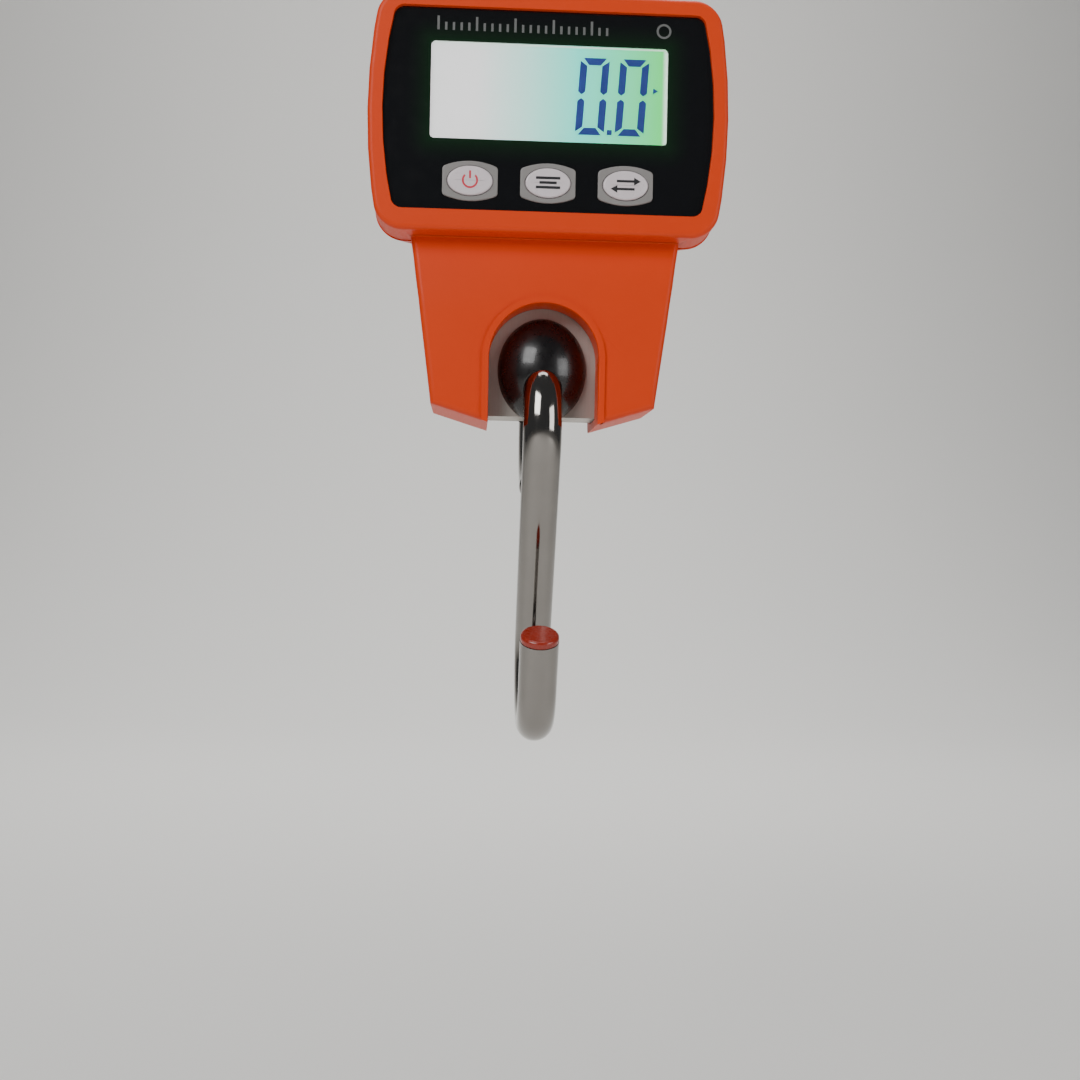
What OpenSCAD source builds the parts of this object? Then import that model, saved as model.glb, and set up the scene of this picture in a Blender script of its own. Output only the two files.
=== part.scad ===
// Hanging digital scale: a moulded housing carries a display head, with a sensing plate inside.
// A closed steel ring hangs the scale from above and a bent steel hook carries the load below.
// X is to the right of the display, Y goes from the display to the back, Z is up.
// The origin is the inside top of the hanging ring, where the scale is hung.

/* [Display head] */
// Widest width of the display head
head_w = 92.6; // [80:0.5:110]
// Height of the display head
head_h = 61.3; // [56:0.5:70]
// How far each side of the head bows out
head_bow = 3; // [0:0.5:5]
// Radius of the head's corners
head_r = 6; // [4:0.5:9]
// Front plane of the display rim, measured from the sensing plate's middle
front_y = -20; // [-24:0.5:-20]
// Back plane of the display head
back_y = 19.8; // [19.8:0.1:24]
// How far the rear shell draws in from the parting plane to the back
back_draft = 4.8; // [3:0.1:5.5]
// Width of the display rim at the sides
rim_w = 3.8; // [3:0.1:5]

/* [Housing] */
// Wall thickness of both shells
wall = 2.2; // [1.8:0.1:2.6]
// Half width of the lower skirt where it meets the head
skirt_top_hw = 35; // [31:0.1:37]
// Half width of the lower skirt at its foot
skirt_foot_hw = 28.9; // [26:0.1:30]
// Half width of the upper neck at its crown
neck_crown_hw = 25; // [24:0.1:30]
// Half width of both arches
arch_hw = 14.1; // [14:0.1:15]
// Front plane of the skirt and the neck
body_front_y = -16; // [-17:0.1:-15.5]
// Back plane of the skirt and the neck
body_back_y = 14; // [13:0.1:16]

/* [Steel parts] */
// Diameter of the hook's and the ring's steel rod
rod_d = 10; // [9:0.1:10]
// Bend radius of the rod's middle line
bend_r = 16; // [16:0.1:17]
// Height from the sensing plate's lower bore to the lowest point of the hook
hook_drop = 99.3; // [95:0.5:110]
// Lean of the hook's tip away from upright
tip_lean = 25; // [15:1:30]
// Length of the straight stretch at the hook's tip, with its cap
tip_length = 17.6; // [14:0.1:20]

/* [Sensing plate] */
// Width of the sensing plate
cell_w = 36; // [34:0.5:36]
// Thickness of the sensing plate
cell_t = 13; // [12:0.1:13]
// Radius of the bores that take the bushes
bore_r = 8.5; // [8.5:0.1:9]
// Aluminium left between a bore's axis and the plate's end
cell_end = 13.1; // [12.5:0.1:14]

/* [Display and buttons] */
// Width of the display window
window_w = 60.4; // [50:0.2:62]
// Height of the display window
window_h = 24.8; // [20:0.2:26]
// Spacing of the three buttons
key_pitch = 19.8; // [18:0.1:21]
// Width of a button's oval
key_w = 11.5; // [10:0.1:12]
// Height of a button's oval
key_h = 7.5; // [6:0.1:8]

/* [Hidden] */
$fn = 64;
eps = 0.01;
gap = 0.2;

rod_r = rod_d / 2;
head_z = -93;
part_y = -7;
upper_bore_z = head_z + 49;
lower_bore_z = head_z - 62.8;
rod_rise = 0.5;
lap = 0.4;

// Heights of the arches and the ends of the skirt and the neck
low_arch_z = head_z - 61.5;
high_arch_z = head_z + 47.7;
foot_outer_z = head_z - 73.7;
foot_inner_z = head_z - 78.3;
crown_outer_z = head_z + 59;
crown_inner_z = head_z + 62.5;

// Display stack, front to back
panel_y = front_y + 1.2;
panel_t = 1;
shelf_back_y = panel_y + 2.5;
lcd_z = head_z + 5.5;
key_z = head_z - 17.6;
panel_top = head_h / 2 - 4.2;
panel_foot = -head_h / 2 + 5.4;
board_y = -11.3;
board_t = 1.6;
key_x = [-key_pitch, 0, key_pitch];
key_travel = 0.5;

// Battery bay
cell_d = 10.5;
cell_len = 44.5;
cell_pitch = 11.3;
bay_z = head_z - 4.5;
bay_w = 54.6;
bay_h = 35.4;
tray_floor_y = 6.9;
back_wall_y = 17;
cover_y = 18.4;
cover_w = 58;
cover_top_z = head_z + 15.5;

// Screw places: [x, z]
shell_screw_at = [[33.8, head_z + 22.4], [33.8, head_z - 22.4], [21.8, head_z - 66], [20.6, head_z + 52]];
board_screw_at = [[30, head_z + 25.2], [30, head_z - 15.5]];
cell_screw_at = [12, head_z + 22];
screw_head_y = 2;

function ellipse(w, h, n = 48) = [for (i = [0:n - 1]) [w / 2 * cos(360 * i / n), h / 2 * sin(360 * i / n)]];

// Right half of a box with bowed sides and round corners, from the lower middle to the upper middle
function bowed_side(w, top, foot, bow, r) =
    let (reach = (top - foot) / 2, mid = (top + foot) / 2,
        lean = atan(2 * bow / reach * (reach - r) / reach),
        turn_z = reach - r + r * sin(lean),
        turn_x = w / 2 - bow * pow(turn_z / reach, 2),
        corner_x = turn_x - r * cos(lean))
    concat(
        [for (i = [0:8]) let (a = -90 + (90 - lean) * i / 8) [corner_x + r * cos(a), mid - reach + r + r * sin(a)]],
        [for (i = [1:11]) let (z = turn_z * (i - 6) / 6) [w / 2 - bow * pow(z / reach, 2), mid + z]],
        [for (i = [0:8]) let (a = lean + (90 - lean) * i / 8) [corner_x + r * cos(a), mid + reach - r + r * sin(a)]]);

function bowed_box(w, top, foot, bow, r) =
    let (side = bowed_side(w, top, foot, bow, r), n = len(side))
    concat(side, [for (i = [n - 1:-1:0]) [-side[i][0], side[i][1]]]);

// A button surround: straight sides with arched top and foot
function barrel(w, h, arch, n = 12) = concat(
    [for (i = [0:n]) let (x = w / 2 - w * i / n) [x, h / 2 - arch * pow(2 * x / w, 2)]],
    [for (i = [0:n]) let (x = -w / 2 + w * i / n) [x, -h / 2 + arch * pow(2 * x / w, 2)]]);

// Extrudes an X-Z outline from y0 back to y1
module slab(y0, y1, z = 0) {
    translate([0, y1, z]) rotate([90, 0, 0]) linear_extrude(y1 - y0) children();
}

module rod_y(r, y0, y1, x = 0, z = 0) {
    translate([x, y1, z]) rotate([90, 0, 0]) cylinder(r = r, h = y1 - y0);
}

module mirrored() {
    children();
    mirror([1, 0, 0]) children();
}

module head_outline(inset = 0) {
    polygon(bowed_box(head_w - 2 * inset, head_h / 2 - inset, -head_h / 2 + inset, head_bow, head_r - inset / 2));
}

module panel_outline(inset = 0) {
    polygon(bowed_box(head_w - 2 * rim_w - 2 * inset, panel_top - inset, panel_foot + inset, head_bow, 3 - inset));
}

// Lower skirt and upper neck seen from the front. inset moves the outer sides and ends inwards.
module skirt_outline(inset = 0) {
    top = skirt_top_hw - inset;
    foot = skirt_foot_hw - inset;
    polygon([[-top, head_z - head_h / 2 + 4], [-foot, foot_outer_z + 3 + inset], [-foot + 2.4, foot_outer_z - 0.6 + inset],
        [-arch_hw, foot_inner_z + inset], [arch_hw, foot_inner_z + inset], [foot - 2.4, foot_outer_z - 0.6 + inset],
        [foot, foot_outer_z + 3 + inset], [top, head_z - head_h / 2 + 4]]);
}

module neck_outline(inset = 0) {
    foot = skirt_top_hw - 3 - inset;
    top = neck_crown_hw - inset;
    polygon([[-foot, head_z + head_h / 2 - 4], [-top, crown_outer_z - 3 - inset], [-top + 2.4, crown_outer_z + 0.6 - inset],
        [-arch_hw, crown_inner_z - inset], [arch_hw, crown_inner_z - inset], [top - 2.4, crown_outer_z + 0.6 - inset],
        [top, crown_outer_z - 3 - inset], [foot, head_z + head_h / 2 - 4]]);
}

// The two arch openings, grown by grow, from y0 to y1
module arches(y0, y1, grow = 0) {
    r = arch_hw + grow;
    rod_y(r, y0, y1, 0, low_arch_z);
    translate([-r, y0, low_arch_z - 25]) cube([2 * r, y1 - y0, 25]);
    rod_y(r, y0, y1, 0, high_arch_z);
    translate([-r, y0, high_arch_z]) cube([2 * r, y1 - y0, 25]);
}

module cell_clearance(extra = 0.4) {
    foot = lower_bore_z - cell_end - extra;
    crown = upper_bore_z + cell_end + extra;
    translate([-cell_w / 2 - extra, -cell_t / 2 - extra, foot])
        cube([cell_w + 2 * extra, cell_t + 2 * extra, crown - foot]);
}

// True for a screw place inside the display head
function in_head(at) = abs(at[1] - head_z) < head_h / 2;

module front_shell() color("orangered") difference() {
    union() {
        difference() {
            union() {
                slab(front_y, part_y, head_z) head_outline();
                slab(body_front_y, part_y) skirt_outline();
                slab(body_front_y, part_y) neck_outline();
            }
            slab(shelf_back_y, part_y + 1, head_z) head_outline(wall);
            difference() {
                union() {
                    slab(body_front_y + wall, part_y + 1) skirt_outline(wall);
                    slab(body_front_y + wall, part_y + 1) neck_outline(wall);
                }
                arches(front_y, part_y + 2, wall);
            }
        }
        mirrored() for (at = shell_screw_at)
            rod_y(2.8, in_head(at) ? shelf_back_y - eps : body_front_y + 1, part_y, at[0], at[1]);
        mirrored() for (at = board_screw_at) rod_y(2.2, shelf_back_y - eps, board_y, at[0], at[1]);
    }
    arches(front_y - 1, part_y + 1);
    slab(front_y - 1, panel_y + panel_t, head_z) panel_outline();
    translate([-window_w / 2 - 1.9, front_y, lcd_z - window_h / 2 - 1.9])
        cube([window_w + 3.8, 8, window_h + 3.8]);
    for (x = key_x) translate([x - 7.4, front_y, key_z - 5.6]) cube([14.8, 8, 11.2]);
    mirrored() for (at = shell_screw_at) rod_y(1.3, -13.7, part_y + 1, at[0], at[1]);
    mirrored() for (at = board_screw_at) rod_y(1, -15, part_y + 1, at[0], at[1]);
}

// Outer shape of the display head behind the parting plane, drawn in towards the back
module head_back() {
    hull() {
        slab(part_y, part_y + 1.5, head_z) head_outline();
        slab(back_y - 2.7, back_y - 2.6, head_z) head_outline(back_draft - 0.4);
        slab(back_y - 0.9, back_y - 0.8, head_z) head_outline(back_draft + 0.8);
        slab(back_y - 0.1, back_y, head_z) head_outline(back_draft + 2.8);
    }
}

// The room inside it
module head_room() {
    hull() {
        slab(part_y - 1, part_y + 1, head_z) head_outline(wall);
        slab(back_wall_y - 0.1, back_wall_y, head_z) head_outline(wall + back_draft - 0.4);
    }
}

module cover_slot(grow) {
    slide_foot = head_z - head_h;
    translate([-cover_w / 2 + 1 - grow, cover_y - grow, slide_foot])
        cube([cover_w - 2 + 2 * grow, 3, cover_top_z - slide_foot + grow]);
    translate([-cover_w / 2 - grow, cover_y - grow, slide_foot])
        cube([cover_w + 2 * grow, 0.7 + 2 * grow, cover_top_z - slide_foot + grow]);
}

module rear_shell() color("orangered") difference() {
    union() {
        difference() {
            union() {
                head_back();
                slab(part_y, body_back_y) skirt_outline();
                slab(part_y, body_back_y) neck_outline();
            }
            head_room();
            difference() {
                union() {
                    slab(part_y - 1, body_back_y - wall) skirt_outline(wall);
                    slab(part_y - 1, body_back_y - wall) neck_outline(wall);
                }
                arches(part_y - 2, body_back_y, wall);
            }
        }
        mirrored() for (at = shell_screw_at)
            rod_y(3.4, part_y, in_head(at) ? back_wall_y + 0.5 : body_back_y - 1, at[0], at[1]);
        mirrored() rod_y(3.2, cell_t / 2 + 0.1, back_wall_y + 0.5, cell_screw_at[0], cell_screw_at[1]);
    }
    arches(part_y - 1, body_back_y + 1);
    cell_clearance();
    cover_slot(0.15);
    translate([-bay_w / 2, 10, bay_z - bay_h / 2]) cube([bay_w, 12, bay_h]);
    mirrored() for (at = shell_screw_at) {
        rod_y(2.6, screw_head_y, back_y + 1, at[0], at[1]);
        rod_y(1.45, part_y - 1, screw_head_y + 1, at[0], at[1]);
    }
    mirrored() rod_y(1.3, cell_t / 2 - 1, 14, cell_screw_at[0], cell_screw_at[1]);
}

module front_panel() color("#14161a") difference() {
    slab(panel_y, panel_y + panel_t, head_z) panel_outline(gap / 2);
    translate([-window_w / 2, panel_y - 1, lcd_z - window_h / 2]) cube([window_w, 4, window_h]);
    for (x = key_x) translate([x, 0, 0])
        slab(panel_y - 1, panel_y + 2, key_z) polygon(ellipse(key_w + 1.8, key_h + 1.8));
}

module display_window() color([0.85, 0.95, 0.9, 0.4])
    translate([-window_w / 2 + 0.1, panel_y, lcd_z - window_h / 2 + 0.1])
        cube([window_w - gap, panel_t, window_h - gap]);

module lcd_glass() color("#9fe0c0")
    translate([-window_w / 2 - 1.6, panel_y + panel_t + 0.1, lcd_z - window_h / 2 - 1.6])
        cube([window_w + 3.2, 2, window_h + 3.2]);

module lcd_backlight() color("#e8ffe8") {
    y0 = panel_y + panel_t + 2.2;
    translate([-window_w / 2 - 1, y0, lcd_z - window_h / 2 - 1]) cube([window_w + 2, 2.4, window_h + 2]);
}

module lcd_frame() color("#202020") difference() {
    translate([-33, shelf_back_y + 0.1, lcd_z - 15.6]) cube([66, board_y - shelf_back_y - 0.2, 31.2]);
    translate([-window_w / 2 - 1.7, front_y, lcd_z - window_h / 2 - 1.7])
        cube([window_w + 3.4, 20, window_h + 3.4]);
    mirrored() for (at = board_screw_at) rod_y(2.5, front_y, 0, at[0], at[1]);
    mirrored() for (at = shell_screw_at) rod_y(3.1, front_y, 0, at[0], at[1]);
}

module display_ribbon() color("#b8863c") translate([-20, panel_y + panel_t + 4.7, lcd_z - 11])
    cube([40, 1.6, 5]);

module circuit_board() color("#1d6b3a") difference() {
    translate([-33.2, board_y, head_z - 22.4]) cube([66.4, board_t, 50]);
    mirrored() for (at = board_screw_at) rod_y(1.15, board_y - 1, board_y + 3, at[0], at[1]);
    mirrored() for (at = shell_screw_at) rod_y(3.2, board_y - 1, board_y + 3, at[0], at[1]);
    rod_y(0.6, board_y - 1, board_y + 3, 24, head_z - 8);
}

module board_components() color("#26282b") {
    y0 = board_y + board_t;
    translate([-22, y0, head_z - 4]) cube([11, 1.7, 11]);
    translate([-4, y0, head_z + 12]) cube([5, 1.5, 6.5]);
    rod_y(5.4, y0, y0 + 1.4, 8, head_z - 6);
    translate([-20, y0, head_z - 18]) cube([4, 1.2, 9]);
    translate([20, y0, head_z - 16]) cube([7.5, 2, 5]);
    for (i = [0:4]) translate([6 + 3.4 * i, y0, head_z + 9]) cube([1.6, 0.7, 0.9]);
}

module board_screws() color("silver") mirrored() for (at = board_screw_at) {
    rod_y(1.9, board_y + board_t, board_y + board_t + 1.3, at[0], at[1]);
    rod_y(0.95, -14.6, board_y + board_t + eps, at[0], at[1]);
}

module button_surrounds() color("#8f8e8c") for (x = key_x) translate([x, 0, 0]) difference() {
    union() {
        slab(panel_y - 0.6, panel_y, key_z) polygon(barrel(key_w + 2.9, key_h + 3.1, 1.7));
        slab(panel_y - eps, panel_y + panel_t, key_z) polygon(ellipse(key_w + 1.6, key_h + 1.6));
    }
    slab(front_y - 1, front_y + 6, key_z) polygon(ellipse(key_w + 0.3, key_h + 0.3));
}

module tact_switches() color("#303234") for (x = key_x) difference() {
    translate([x - 3, board_y - 2.9, key_z - 3]) cube([6, 2.9, 6]);
    rod_y(1.8, board_y - 4, board_y - 0.8, x, key_z);
}

// One button's oval cap: a low dome, a flange behind the panel and a stem
module key_cap(x) {
    flange_y = panel_y + panel_t + 0.5;
    translate([x, 0, 0]) {
        slab(panel_y - 0.9, flange_y, key_z) polygon(ellipse(key_w, key_h));
        slab(panel_y - 1.1, panel_y - 0.9, key_z) polygon(ellipse(key_w - 1.2, key_h - 1.2));
        slab(flange_y, flange_y + 0.8, key_z) polygon(ellipse(key_w + 1.7, key_h + 1.7));
        rod_y(2, flange_y, board_y - 4, 0, key_z);
    }
}

module key_plunger(x) rod_y(1.7, board_y - 4, board_y - 1.4, x, key_z);

module load_cell() color("#8c8782") {
    foot = lower_bore_z - cell_end;
    crown = upper_bore_z + cell_end;
    difference() {
        translate([-cell_w / 2, -cell_t / 2, foot]) cube([cell_w, cell_t, crown - foot]);
        rod_y(bore_r, -cell_t, cell_t, 0, lower_bore_z);
        rod_y(bore_r, -cell_t, cell_t, 0, upper_bore_z);
        rod_y(8, -cell_t, cell_t, 0, head_z - 8);
        translate([-cell_w, -cell_t, head_z + 5]) cube([cell_w + 9, 2 * cell_t, 2.5]);
        translate([-9, -cell_t, head_z - 23.5]) cube([cell_w + 9, 2 * cell_t, 2.5]);
        mirrored() {
            rod_y(1.5, -cell_t, cell_t, cell_screw_at[0], cell_screw_at[1]);
            rod_y(2.7, -cell_t, -cell_t / 2 + 2, cell_screw_at[0], cell_screw_at[1]);
        }
    }
}

module strain_gauges() color("#d8b060") mirrored() for (z = [-13.5, -6.5])
    translate([cell_w / 2, -2.5, head_z + z]) cube([0.3, 5, 4.5]);

module gauge_sealant() color("#e8e6e0") rod_y(7.9, -cell_t / 2 + 0.5, cell_t / 2 - 0.5, 0, head_z - 8);

// A round lead through points, as one closed skin
module lead(path, r, sides = 8) {
    n = len(path);
    function heading(i) = let (d = path[min(i + 1, n - 1)] - path[max(i - 1, 0)]) d / norm(d);
    rings = [for (i = [0:n - 1]) let (t = heading(i), u0 = cross(t, [0, 0, 1]), u = u0 / norm(u0), v = cross(u, t))
        for (k = [0:sides - 1]) path[i] + r * cos(360 * k / sides) * u + r * sin(360 * k / sides) * v];
    polyhedron(rings, concat(
        [[for (k = [0:sides - 1]) k]],
        [[for (k = [sides - 1:-1:0]) (n - 1) * sides + k]],
        [for (i = [0:n - 2]) for (k = [0:sides - 1])
            [i * sides + k, (i + 1) * sides + k, (i + 1) * sides + (k + 1) % sides, i * sides + (k + 1) % sides]]));
}

gauge_route = [[19.4, -1, head_z - 16], [23.4, -2.6, head_z - 15.2], [24.4, -6.7, head_z - 14.6]];

module gauge_lead() color("#d8d8d8") {
    for (i = [0:len(gauge_route) - 2]) {
        d = gauge_route[i + 1] - gauge_route[i];
        translate(gauge_route[i]) rotate([0, acos(d[2] / norm(d)), atan2(d[1], d[0])]) cylinder(r = 0.8, h = norm(d));
    }
    for (at = gauge_route) translate(at) sphere(0.9, $fn = 24);
}

module load_cell_screws() color("silver") mirrored() {
    rod_y(2.5, -cell_t / 2 + 0.2, -cell_t / 2 + 2, cell_screw_at[0], cell_screw_at[1]);
    rod_y(1.25, -cell_t / 2 + 1.9, 13.5, cell_screw_at[0], cell_screw_at[1]);
}

module battery_tray() color("#1c1c1e") difference() {
    translate([-bay_w / 2 - 1.2, tray_floor_y, bay_z - bay_h / 2 - 1.2])
        cube([bay_w + 2.4, back_wall_y - tray_floor_y - 0.1, bay_h + 2.4]);
    translate([-bay_w / 2, tray_floor_y + 0.8, bay_z - bay_h / 2]) cube([bay_w, 20, bay_h]);
}

module battery_cells() color("#3a4a58") for (i = [-1:1]) {
    flip = i == 0 ? -1 : 1;
    translate([0, tray_floor_y + 1 + cell_d / 2, bay_z + i * cell_pitch]) rotate([0, 90 * flip, 0]) {
        translate([0, 0, -cell_len / 2]) cylinder(d = cell_d, h = cell_len - 0.9);
        translate([0, 0, cell_len / 2 - 1]) cylinder(d = 3.8, h = 1.2);
    }
}

module battery_springs() color("silver") for (i = [-1:1]) {
    flip = i == 0 ? -1 : 1;
    turns = 3;
    coil = [for (k = [0:turns * 12]) let (s = k / (turns * 12), a = 30 * k, r = 3.8 - 1.2 * s)
        [r * cos(a), r * sin(a), 0.3 + 3.2 * s]];
    translate([-flip * (bay_w / 2 - 0.9), tray_floor_y + 1 + cell_d / 2, bay_z + i * cell_pitch])
        rotate([0, 90 * flip, 0]) lead(coil, 0.28, 6);
}

module battery_contacts() color("#c8c4b8") for (i = [-1:1]) for (side = [-1, 1])
    translate([side * (bay_w / 2 - 0.35) - 0.25, tray_floor_y + 2, bay_z + i * cell_pitch - 4.4])
        cube([0.5, 8.4, 8.8]);

module shell_screws() color("silver") mirrored() for (at = shell_screw_at) {
    rod_y(2.3, screw_head_y, screw_head_y + 1.8, at[0], at[1]);
    rod_y(1.25, -13.5, screw_head_y + eps, at[0], at[1]);
}

module battery_cover() color("orangered") difference() {
    intersection() {
        head_back();
        cover_slot(0);
    }
    for (i = [0:4]) translate([-9, back_y - 0.5, cover_top_z - 6 - 2.2 * i]) cube([18, 2, 1]);
}

// A bent steel rod in the Y-Z plane: one arc about [y, z] from angle a0 to a1, counted from +Y towards +Z
module rod_arc(y, z, r, a0, a1) {
    translate([0, y, z]) rotate([90, 0, 90]) rotate([0, 0, a0]) rotate_extrude(angle = a1 - a0)
        translate([r, 0]) circle(rod_r);
}

// A straight stretch of rod in the Y-Z plane from p to q. It starts lap before p, inside the bend it leaves.
module rod_line(p, q, lap_end = lap) {
    d = q - p;
    translate([0, p[0], p[1]]) rotate([-atan2(d[0], d[1]), 0, 0]) translate([0, 0, -lap])
        cylinder(r = rod_r - 0.02, h = norm(d) + lap + lap_end);
}

// The hook: an eye round the plate's end, a shank that crosses the load line, a bowl and a leaning tip
eye_z = lower_bore_z + rod_rise - bend_r;
bowl_z = lower_bore_z - hook_drop + rod_r + bend_r;
shank_lean = asin(2 * bend_r / (eye_z - bowl_z));
eye_gap = acos(1 - rod_d / bend_r) + 3;
shank_top = [-bend_r * cos(shank_lean), eye_z - bend_r * sin(shank_lean)];
shank_foot = [bend_r * cos(shank_lean), bowl_z + bend_r * sin(shank_lean)];
tip_root = [-bend_r * cos(tip_lean), bowl_z - bend_r * sin(tip_lean)];
tip_way = [-sin(tip_lean), cos(tip_lean)];
cap_t = 2;
tip_end = tip_root + (tip_length - cap_t) * tip_way;

module hook_rod() color("#b8b8ba") difference() {
    union() {
        rod_arc(0, eye_z, bend_r, -180 + shank_lean + eye_gap, 180 + shank_lean);
        rod_line(shank_foot, shank_top);
        rod_arc(0, bowl_z, bend_r, -180 + tip_lean, shank_lean);
        rod_line(tip_root, tip_end, 0);
    }
    translate([0, tip_end[0], tip_end[1]]) rotate([tip_lean, 0, 0]) translate([0, 0, -6]) cylinder(r = 2.05, h = 7);
}

module hook_tip_cap() color("#b03018")
    translate([0, tip_end[0], tip_end[1]]) rotate([tip_lean, 0, 0]) {
        cylinder(r = rod_r, h = cap_t - 0.8);
        translate([0, 0, cap_t - 0.8]) cylinder(r1 = rod_r, r2 = rod_r - 1.2, h = 0.8);
        translate([0, 0, -5.5]) cylinder(r = 2, h = 5.6);
    }

module hanging_ring() color("#b8b8ba") {
    foot_z = upper_bore_z - rod_rise + bend_r;
    crown_z = rod_r - bend_r;
    rod_arc(0, foot_z, bend_r, 180, 360);
    rod_arc(0, crown_z, bend_r, 0, 180);
    rod_line([bend_r, foot_z], [bend_r, crown_z]);
    rod_line([-bend_r, foot_z], [-bend_r, crown_z]);
}

// Front half of a bush: an oval dome on a journal that turns in the plate's bore, with a channel for the rod
dome_r = 12;
dome_tall = 14.1;
dome_shift = 1;
dome_y = -4;

module bush_half(bore_z, out) difference() {
    union() {
        intersection() {
            translate([0, dome_y, bore_z + out * dome_shift]) rotate_extrude($fn = 96)
                polygon([for (i = [0:24]) let (a = -90 + 7.5 * i) [dome_r * cos(a), dome_tall * sin(a)]]);
            translate([-20, -25, bore_z - 20]) cube([40, 25 - cell_t / 2 - gap, 40]);
        }
        rod_y(bore_r - 0.05, -cell_t / 2 - gap - eps, -0.05, 0, bore_z);
    }
    translate([0, 0, bore_z + out * (bend_r - rod_rise)]) rotate([0, 90, 0]) rotate_extrude()
        translate([bend_r, 0]) circle(rod_r + 0.05);
}

module hook_bush_front() color("#181416") bush_half(lower_bore_z, -1);
module hook_bush_rear() color("#181416") mirror([0, 1, 0]) bush_half(lower_bore_z, -1);
module ring_bush_front() color("#181416") bush_half(upper_bore_z, 1);
module ring_bush_rear() color("#181416") mirror([0, 1, 0]) bush_half(upper_bore_z, 1);

module power_key() color("#d8c8cc") key_cap(key_x[0]);
module hold_key() color("#d8d6d4") key_cap(key_x[1]);
module unit_key() color("#d8d6d4") key_cap(key_x[2]);
module power_plunger() color("#101010") key_plunger(key_x[0]);
module hold_plunger() color("#101010") key_plunger(key_x[1]);
module unit_plunger() color("#101010") key_plunger(key_x[2]);

front_shell();
rear_shell();
front_panel();
display_window();
lcd_glass();
lcd_backlight();
lcd_frame();
display_ribbon();
circuit_board();
board_components();
board_screws();
button_surrounds();
tact_switches();
load_cell();
strain_gauges();
gauge_sealant();
gauge_lead();
load_cell_screws();
battery_tray();
battery_cells();
battery_springs();
battery_contacts();
shell_screws();
hanging_ring();
ring_bush_front();
ring_bush_rear();
hook_rod();
hook_bush_front();
hook_bush_rear();
hook_tip_cap();
power_key();
power_plunger();
hold_key();
hold_plunger();
unit_key();
unit_plunger();
battery_cover();
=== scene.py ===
"""Looks of a hanging digital scale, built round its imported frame. Sizes are in millimetres."""

import logging
import math
from contextlib import contextmanager
from dataclasses import dataclass, field
from enum import Enum
from typing import Callable, Iterator, Sequence

import bmesh
import bpy
from mathutils import Matrix, Vector

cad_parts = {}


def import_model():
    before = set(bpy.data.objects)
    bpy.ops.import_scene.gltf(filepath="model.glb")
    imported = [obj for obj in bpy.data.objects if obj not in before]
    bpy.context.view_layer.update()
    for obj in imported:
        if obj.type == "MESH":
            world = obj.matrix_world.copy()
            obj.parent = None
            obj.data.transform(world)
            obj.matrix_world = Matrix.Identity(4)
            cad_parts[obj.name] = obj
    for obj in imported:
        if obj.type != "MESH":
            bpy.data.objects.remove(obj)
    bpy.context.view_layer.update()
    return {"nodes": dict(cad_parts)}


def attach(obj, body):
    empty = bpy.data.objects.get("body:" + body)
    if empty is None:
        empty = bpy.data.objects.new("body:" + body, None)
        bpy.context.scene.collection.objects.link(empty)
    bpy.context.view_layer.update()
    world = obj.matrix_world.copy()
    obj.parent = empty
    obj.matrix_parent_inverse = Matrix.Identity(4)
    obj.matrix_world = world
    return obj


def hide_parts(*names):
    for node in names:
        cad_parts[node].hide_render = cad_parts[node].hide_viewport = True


logging.basicConfig(level=logging.INFO, format="%(message)s")
LOG = logging.getLogger("scale")
MM = 0.001
UPRIGHT = (math.pi / 2, 0, 0)
WINDOW_W = 60.4
WINDOW_H = 24.8
WINDOW_Z = -87.5
Test = Callable[[Vector, Vector], bool]


class Part(Enum):
    """The kind of mesh element that a selection is made of."""

    VERT = "VERT"
    EDGE = "EDGE"
    FACE = "FACE"


class Glyph(Enum):
    """The plain signs printed on the keys."""

    POWER = "power"
    HOLD = "hold"
    UNIT = "unit"


def mm(x: float, y: float, z: float) -> Vector:
    """Returns a place or a length given in millimetres as metres."""
    return Vector((x, y, z)) * MM


def linear(code: str, alpha: float = 1.0) -> tuple[float, float, float, float]:
    """Turns an sRGB hex colour into the linear values that a shader takes.

    Args:
        code: the colour as six hex digits.
        alpha: the opacity.

    Returns:
        Red, green, blue and alpha, all linear.
    """
    channels = [int(code[i : i + 2], 16) / 255 for i in (0, 2, 4)]
    r, g, b = [c / 12.92 if c <= 0.04045 else ((c + 0.055) / 1.055) ** 2.4 for c in channels]
    return r, g, b, alpha


def alone(piece: bpy.types.Object) -> None:
    """Makes one object the only selected one, and the active one.

    Args:
        piece: the object.
    """
    bpy.ops.object.select_all(action="DESELECT")
    piece.select_set(True)
    bpy.context.view_layer.objects.active = piece


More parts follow.
